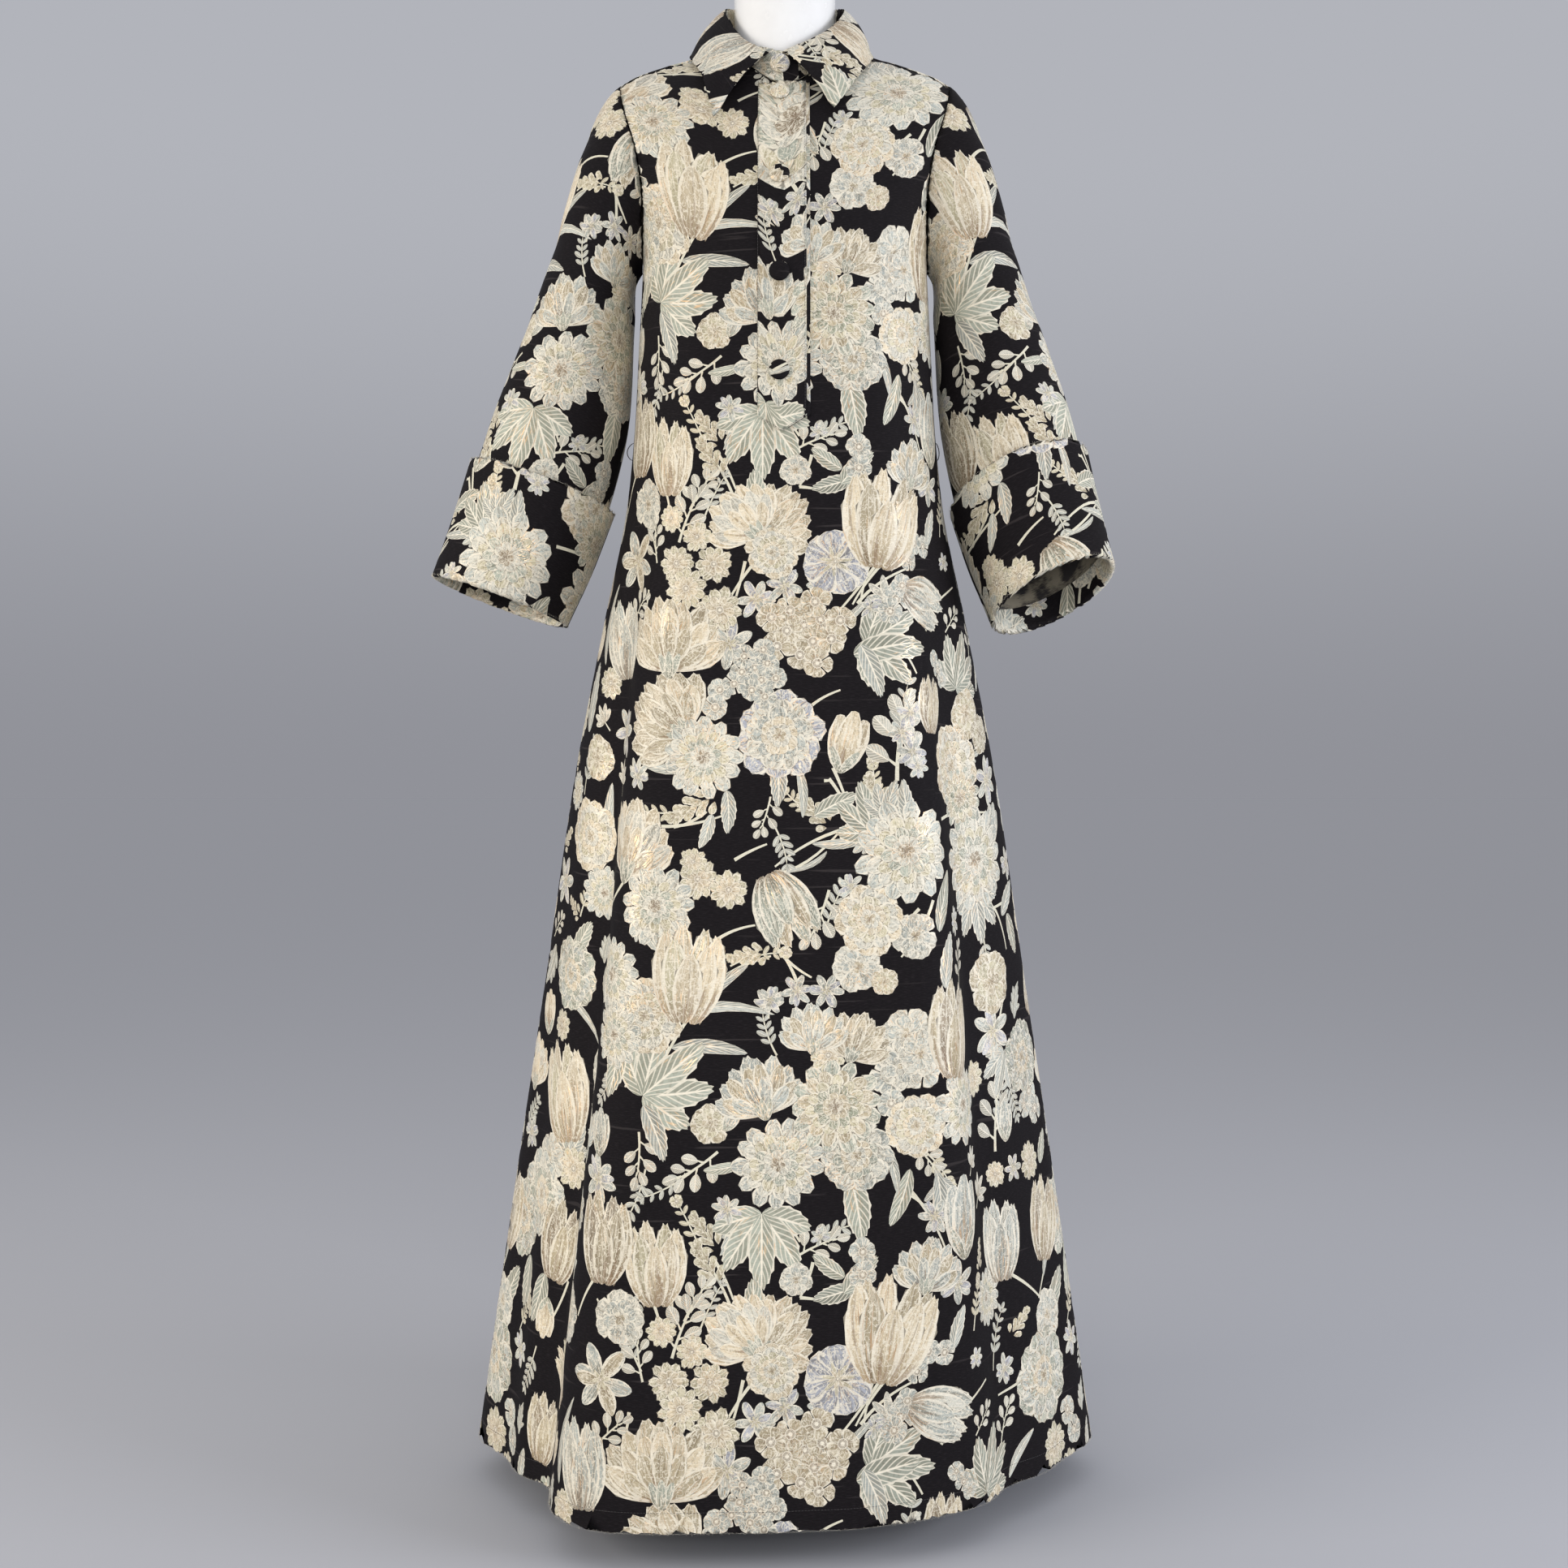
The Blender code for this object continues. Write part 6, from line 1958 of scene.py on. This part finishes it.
def belt_loops():
    """Thread carriers: two strands twisted round each other, standing off each side seam."""
    for side, sign in (("left", -1), ("right", 1)):
        angle = np.array([180.0 if side == "left" else 0.0])
        mesh_curve = bpy.data.curves.new(f"carrier_{side}", "CURVE")
        mesh_curve.dimensions = "3D"
        mesh_curve.bevel_depth = LOOP_STRAND
        mesh_curve.bevel_resolution = 1
        mesh_curve.use_fill_caps = True
        for start in (0.0, math.pi):
            path = mesh_curve.splines.new("POLY")
            path.points.add(LOOP_STEPS - 1)
            for point, share in zip(path.points, np.linspace(0, 1, LOOP_STEPS)):
                height = LOOP_HEIGHT - LOOP_LENGTH / 2 + LOOP_LENGTH * share
                seam = body_section(angle, np.array([height]))[0]
                off = LOOP_THREAD + 2 * SEAM + LOOP_REACH[side] * math.sin(math.pi * share) ** 0.6
                twist = start + 2 * math.pi * LOOP_TWISTS * share
                lay = np.array([math.cos(twist), math.sin(twist), 0.0]) * LOOP_LAY
                point.co = (*(lifted(seam) + np.array([sign * off, 0.0, 0.0]) + lay), 1.0)
        source = linked(f"carrier_curve_{side}", mesh_curve)
        made = mesh_from(source)
        bpy.data.objects.remove(source)
        finished(linked(f"thread_carrier_{side}", made), BLACK_THREAD, f"belt_loop_{side}")


# The form and its stand
# Height, half width, front depth, back depth and squareness.
FORM = (
    (0.860, 0.1450, 0.080, 0.088, 2.3),
    (0.900, 0.1580, 0.090, 0.102, 2.3),
    (0.960, 0.1600, 0.093, 0.106, 2.3),
    (1.040, 0.1400, 0.084, 0.086, 2.3),
    (1.110, 0.1180, 0.078, 0.070, 2.3),
    (1.180, 0.1290, 0.094, 0.078, 2.3),
    (1.250, 0.1420, 0.110, 0.090, 2.3),
    (1.310, 0.1440, 0.104, 0.094, 2.3),
    (1.380, 0.1480, 0.082, 0.086, 2.2),
    (1.440, 0.1550, 0.066, 0.070, 2.1),
    (1.480, 0.1630, 0.052, 0.056, 2.0),
    (1.500, 0.1720, 0.044, 0.048, 1.8),
    (1.508, 0.1700, 0.039, 0.044, 1.7),
    (1.514, 0.1640, 0.037, 0.042, 1.6),
    (1.5195, 0.1550, 0.036, 0.041, 1.6),
    (1.525, 0.1440, 0.035, 0.040, 1.55),
    (1.530, 0.1310, 0.034, 0.040, 1.5),
    (1.5345, 0.1140, 0.034, 0.040, 1.5),
    (1.539, 0.0960, 0.036, 0.042, 1.5),
    (1.5435, 0.0800, 0.038, 0.042, 1.6),
    (1.550, 0.0672, 0.040, 0.042, 2.0),
    (1.558, 0.0605, 0.040, 0.044, 2.0),
)
FORM_NECK = (0.0565, 0.0605, 0.0525)  # half width, front depth and back depth
FORM_NECK_FROM = 1.440
FORM_NECK_FOOT = 1.565
FORM_NECK_TOP = 1.690
FORM_NECK_EDGE = 4 * MM
FORM_BOTTOM_EDGE = 12 * MM
POLE_RADIUS = 0.0125
BASE_RADIUS = 0.160
BASE_THICKNESS = 0.008
BASE_EDGE = 1.5 * MM
POLE_EDGE = 0.8 * MM
AROUND = np.radians(np.linspace(0, 360, 96, endpoint=False))


def solid_of(name, rings):
    """A smooth closed body from rings, each a radius and a height, with flat ends."""
    count = len(AROUND)
    points = np.concatenate(
        [
            np.stack([radius * np.cos(AROUND), radius * np.sin(AROUND), np.full(count, height)], axis=-1)
            for radius, height in rings
        ]
    )
    quads = []
    for k in range(len(rings) - 1):
        for i in range(count):
            j = (i + 1) % count
            quads.append((k * count + i, k * count + j, (k + 1) * count + j, (k + 1) * count + i))
    ends = [tuple(reversed(range(count))), tuple(range((len(rings) - 1) * count, len(rings) * count))]
    mesh = bpy.data.meshes.new(name)
    mesh.from_pydata(points.tolist(), [], quads + ends)
    mesh.shade_smooth()
    mesh.set_sharp_from_angle(angle=math.radians(35))
    return linked(name, mesh)


def display_form():
    neck = oval(AROUND, *FORM_NECK, 2.0)
    rings = []
    bottom = FORM[0][0]
    for height in np.concatenate([np.linspace(bottom, 1.50, 60), np.linspace(1.502, 1.558, 24)]):
        # Kept clear of the cloth, more so at the shoulders.
        clear = (1.3 + smooth(height, 1.40, 1.52)) * MM
        radius = oval(AROUND, *section(FORM, height)) - clear
        if height >= FORM_NECK_FROM:
            radius = np.maximum(radius, neck)
        into_edge = max(0.0, 1 - (height - bottom) / FORM_BOTTOM_EDGE)
        rings.append((radius - FORM_BOTTOM_EDGE * (1 - math.sqrt(1 - into_edge**2)), height))
    rings += [(neck, height) for height in np.linspace(FORM_NECK_FOOT, FORM_NECK_TOP - FORM_NECK_EDGE, 12)]
    for turn in np.radians((20, 40, 60, 80, 90)):
        in_by, down_by = FORM_NECK_EDGE * (1 - math.cos(turn)), FORM_NECK_EDGE * (1 - math.sin(turn))
        rings.append((neck - in_by, FORM_NECK_TOP - down_by))
    rings += [((neck - FORM_NECK_EDGE) * share, FORM_NECK_TOP) for share in (0.8, 0.5, 0.2)]
    standing = [(radius, height + HEM_HEIGHT) for radius, height in rings]
    finished(solid_of("dress_form", standing), GLOSS_WHITE, "form_torso")


def stand():
    rim = [
        (BASE_RADIUS - BASE_EDGE * (1 - math.sin(turn)), BASE_THICKNESS - BASE_EDGE * (1 - math.cos(turn)))
        for turn in np.radians((90, 60, 30, 0))
    ]
    foot = [(BASE_RADIUS - BASE_EDGE, 0.0), (BASE_RADIUS - BASE_EDGE * 0.3, BASE_EDGE * 0.3)]
    base = foot + [(BASE_RADIUS, BASE_EDGE)] + rim + [(0.05, BASE_THICKNESS), (0.02, BASE_THICKNESS)]
    finished(solid_of("round_base", base), BRUSHED_STEEL, "stand_base")
    low, high = BASE_THICKNESS + SEAM, FORM[0][0] + HEM_HEIGHT - SEAM
    narrow = POLE_RADIUS - POLE_EDGE
    pole = [(narrow, low), (POLE_RADIUS, low + POLE_EDGE), (POLE_RADIUS, high - POLE_EDGE), (narrow, high)]
    finished(solid_of("steel_pole", pole), BRUSHED_STEEL, "stand_pole")


front_points = body_panel("front")
back_points = body_panel("back")
cuffs = {side: sleeve_and_cuff(side) for side in ("left", "right")}
front_tree = dense_front(front_points)
placket = plackets(front_tree)
collar_stand()
collar_fall()
buttons(front_tree)
belt_loops()
display_form()
stand()

# Stitching and frayed ends
STITCH = {"Pitch": 3.2 * MM, "Length": 2.7 * MM, "Thickness": 0.38 * MM}
FRAY = {"Pitch": 1.6 * MM, "Length": 4.4 * MM, "Thickness": 0.16 * MM, "Scatter": 1.1}

hem_lines = [hem_line(points) for points in (front_points, back_points)]
threads("hem_stitches", hem_lines, BLACK_THREAD, STITCH)


def placket_lines(grid):
    """Stitching round the placket, just inside its edges."""
    normals = outward_normals(grid, np.array([0.0, 1.0, 1.0]))
    raised = grid + normals * 0.15 * MM
    left = raised[2:, 0] * 0.93 + raised[2:, 1] * 0.07
    right = raised[2:, -1] * 0.4 + raised[2:, -2] * 0.6
    bottom = raised[0] * 0.85 + raised[1] * 0.15
    return [np.concatenate([left[::-1], bottom[1:-1], right])]


threads("placket_stitches", placket_lines(placket), BLACK_THREAD, STITCH)
rim_row = CUFF_INSIDE_ROWS + len(CUFF_RIM)
for side, points in cuffs.items():
    edges = [points[rim_row], points[rim_row + CUFF_OUTSIDE_ROWS - 1]]
    threads(f"cuff_fray_{side}", edges, PALE_THREAD, FRAY, seed=5)
threads("hem_fray", [front_points[0], back_points[0]], PALE_THREAD, FRAY, seed=9)

# Stage, lights and camera
FLOOR_REACH = 90
floor_corners = [(x * FLOOR_REACH, y * FLOOR_REACH, -MM) for x, y in ((-1, -1), (1, -1), (1, 1), (-1, 1))]
floor_mesh = bpy.data.meshes.new("floor")
floor_mesh.from_pydata(floor_corners, [], [(0, 1, 2, 3)])
floor = linked("floor", floor_mesh)
floor_material, floor_tree = blank("studio_floor")
finish_with(floor_tree, {"Base Color": colour("#A6A7AC"), "Roughness": 0.9, "Specular IOR Level": 0.1})
floor_mesh.materials.append(floor_material)


def lamp(name, place, aim, size, power, tint):
    light = bpy.data.lights.new(name, "AREA")
    light.shape = "RECTANGLE"
    light.size, light.size_y = size
    light.energy = power
    light.color = linear(tint)
    obj = linked(name, light)
    obj.location = place
    obj.rotation_euler = (Vector(aim) - Vector(place)).to_track_quat("-Z", "Y").to_euler()


lamp("window_left", (-2.9, -1.4, 1.4), (0.0, 0.0, 0.80), (1.8, 1.5), 62, "#FFF9F0")
lamp("window_right", (3.0, -1.25, 1.3), (0.0, 0.0, 0.80), (1.6, 1.4), 70, "#F4F7FF")
lamp("front_fill", (0.0, -2.6, 0.95), (0.0, 0.0, 0.76), (0.9, 0.7), 15, "#FFFFFF")

# Soft light from all round: the studio's wall at eye level, its pale ceiling above
world = bpy.data.worlds.new("studio")
world.use_nodes = True
sky = world.node_tree
CAMERA_PLACE = (0.0, -2.0, 0.769)
CEILING_GLOW = (0.95, 0.95, 0.97, 1.0)
look = add(sky, "ShaderNodeTexCoord").outputs["Object"]
height = add(sky, PARTED, (look,)).outputs["Z"]
up_wall = add(sky, SMOOTH_RAMP, (height, 0.0, 0.34, 0.0, 1.0))
wall = add(sky, TINT, (up_wall, colour("#919299"), colour("#B2B4BB")))
glow = add(sky, TINT, (add(sky, RAMP, (height, 0.42, 0.90, 0.0, 1.0)), wall, CEILING_GLOW))
sky.links.new(glow.outputs[0], sky.nodes["Background"].inputs["Color"])
bpy.context.scene.world = world
bpy.context.scene.view_settings.view_transform = "Standard"

# The photograph's side and the camera's reach in its pixels, and the camera's sensor in mm.
PHOTO_SIDE, PHOTO_REACH, SENSOR = 1932, 2200, 36.0
camera_data = bpy.data.cameras.new("camera")
camera_data.sensor_width = SENSOR
camera_data.lens = PHOTO_REACH / PHOTO_SIDE * SENSOR
camera_data.shift_x = -1 / PHOTO_SIDE
camera_data.dof.use_dof = False
camera = linked("camera", camera_data)
camera.location = CAMERA_PLACE
camera.rotation_euler = (math.radians(90), 0.0, 0.0)
bpy.context.scene.camera = camera
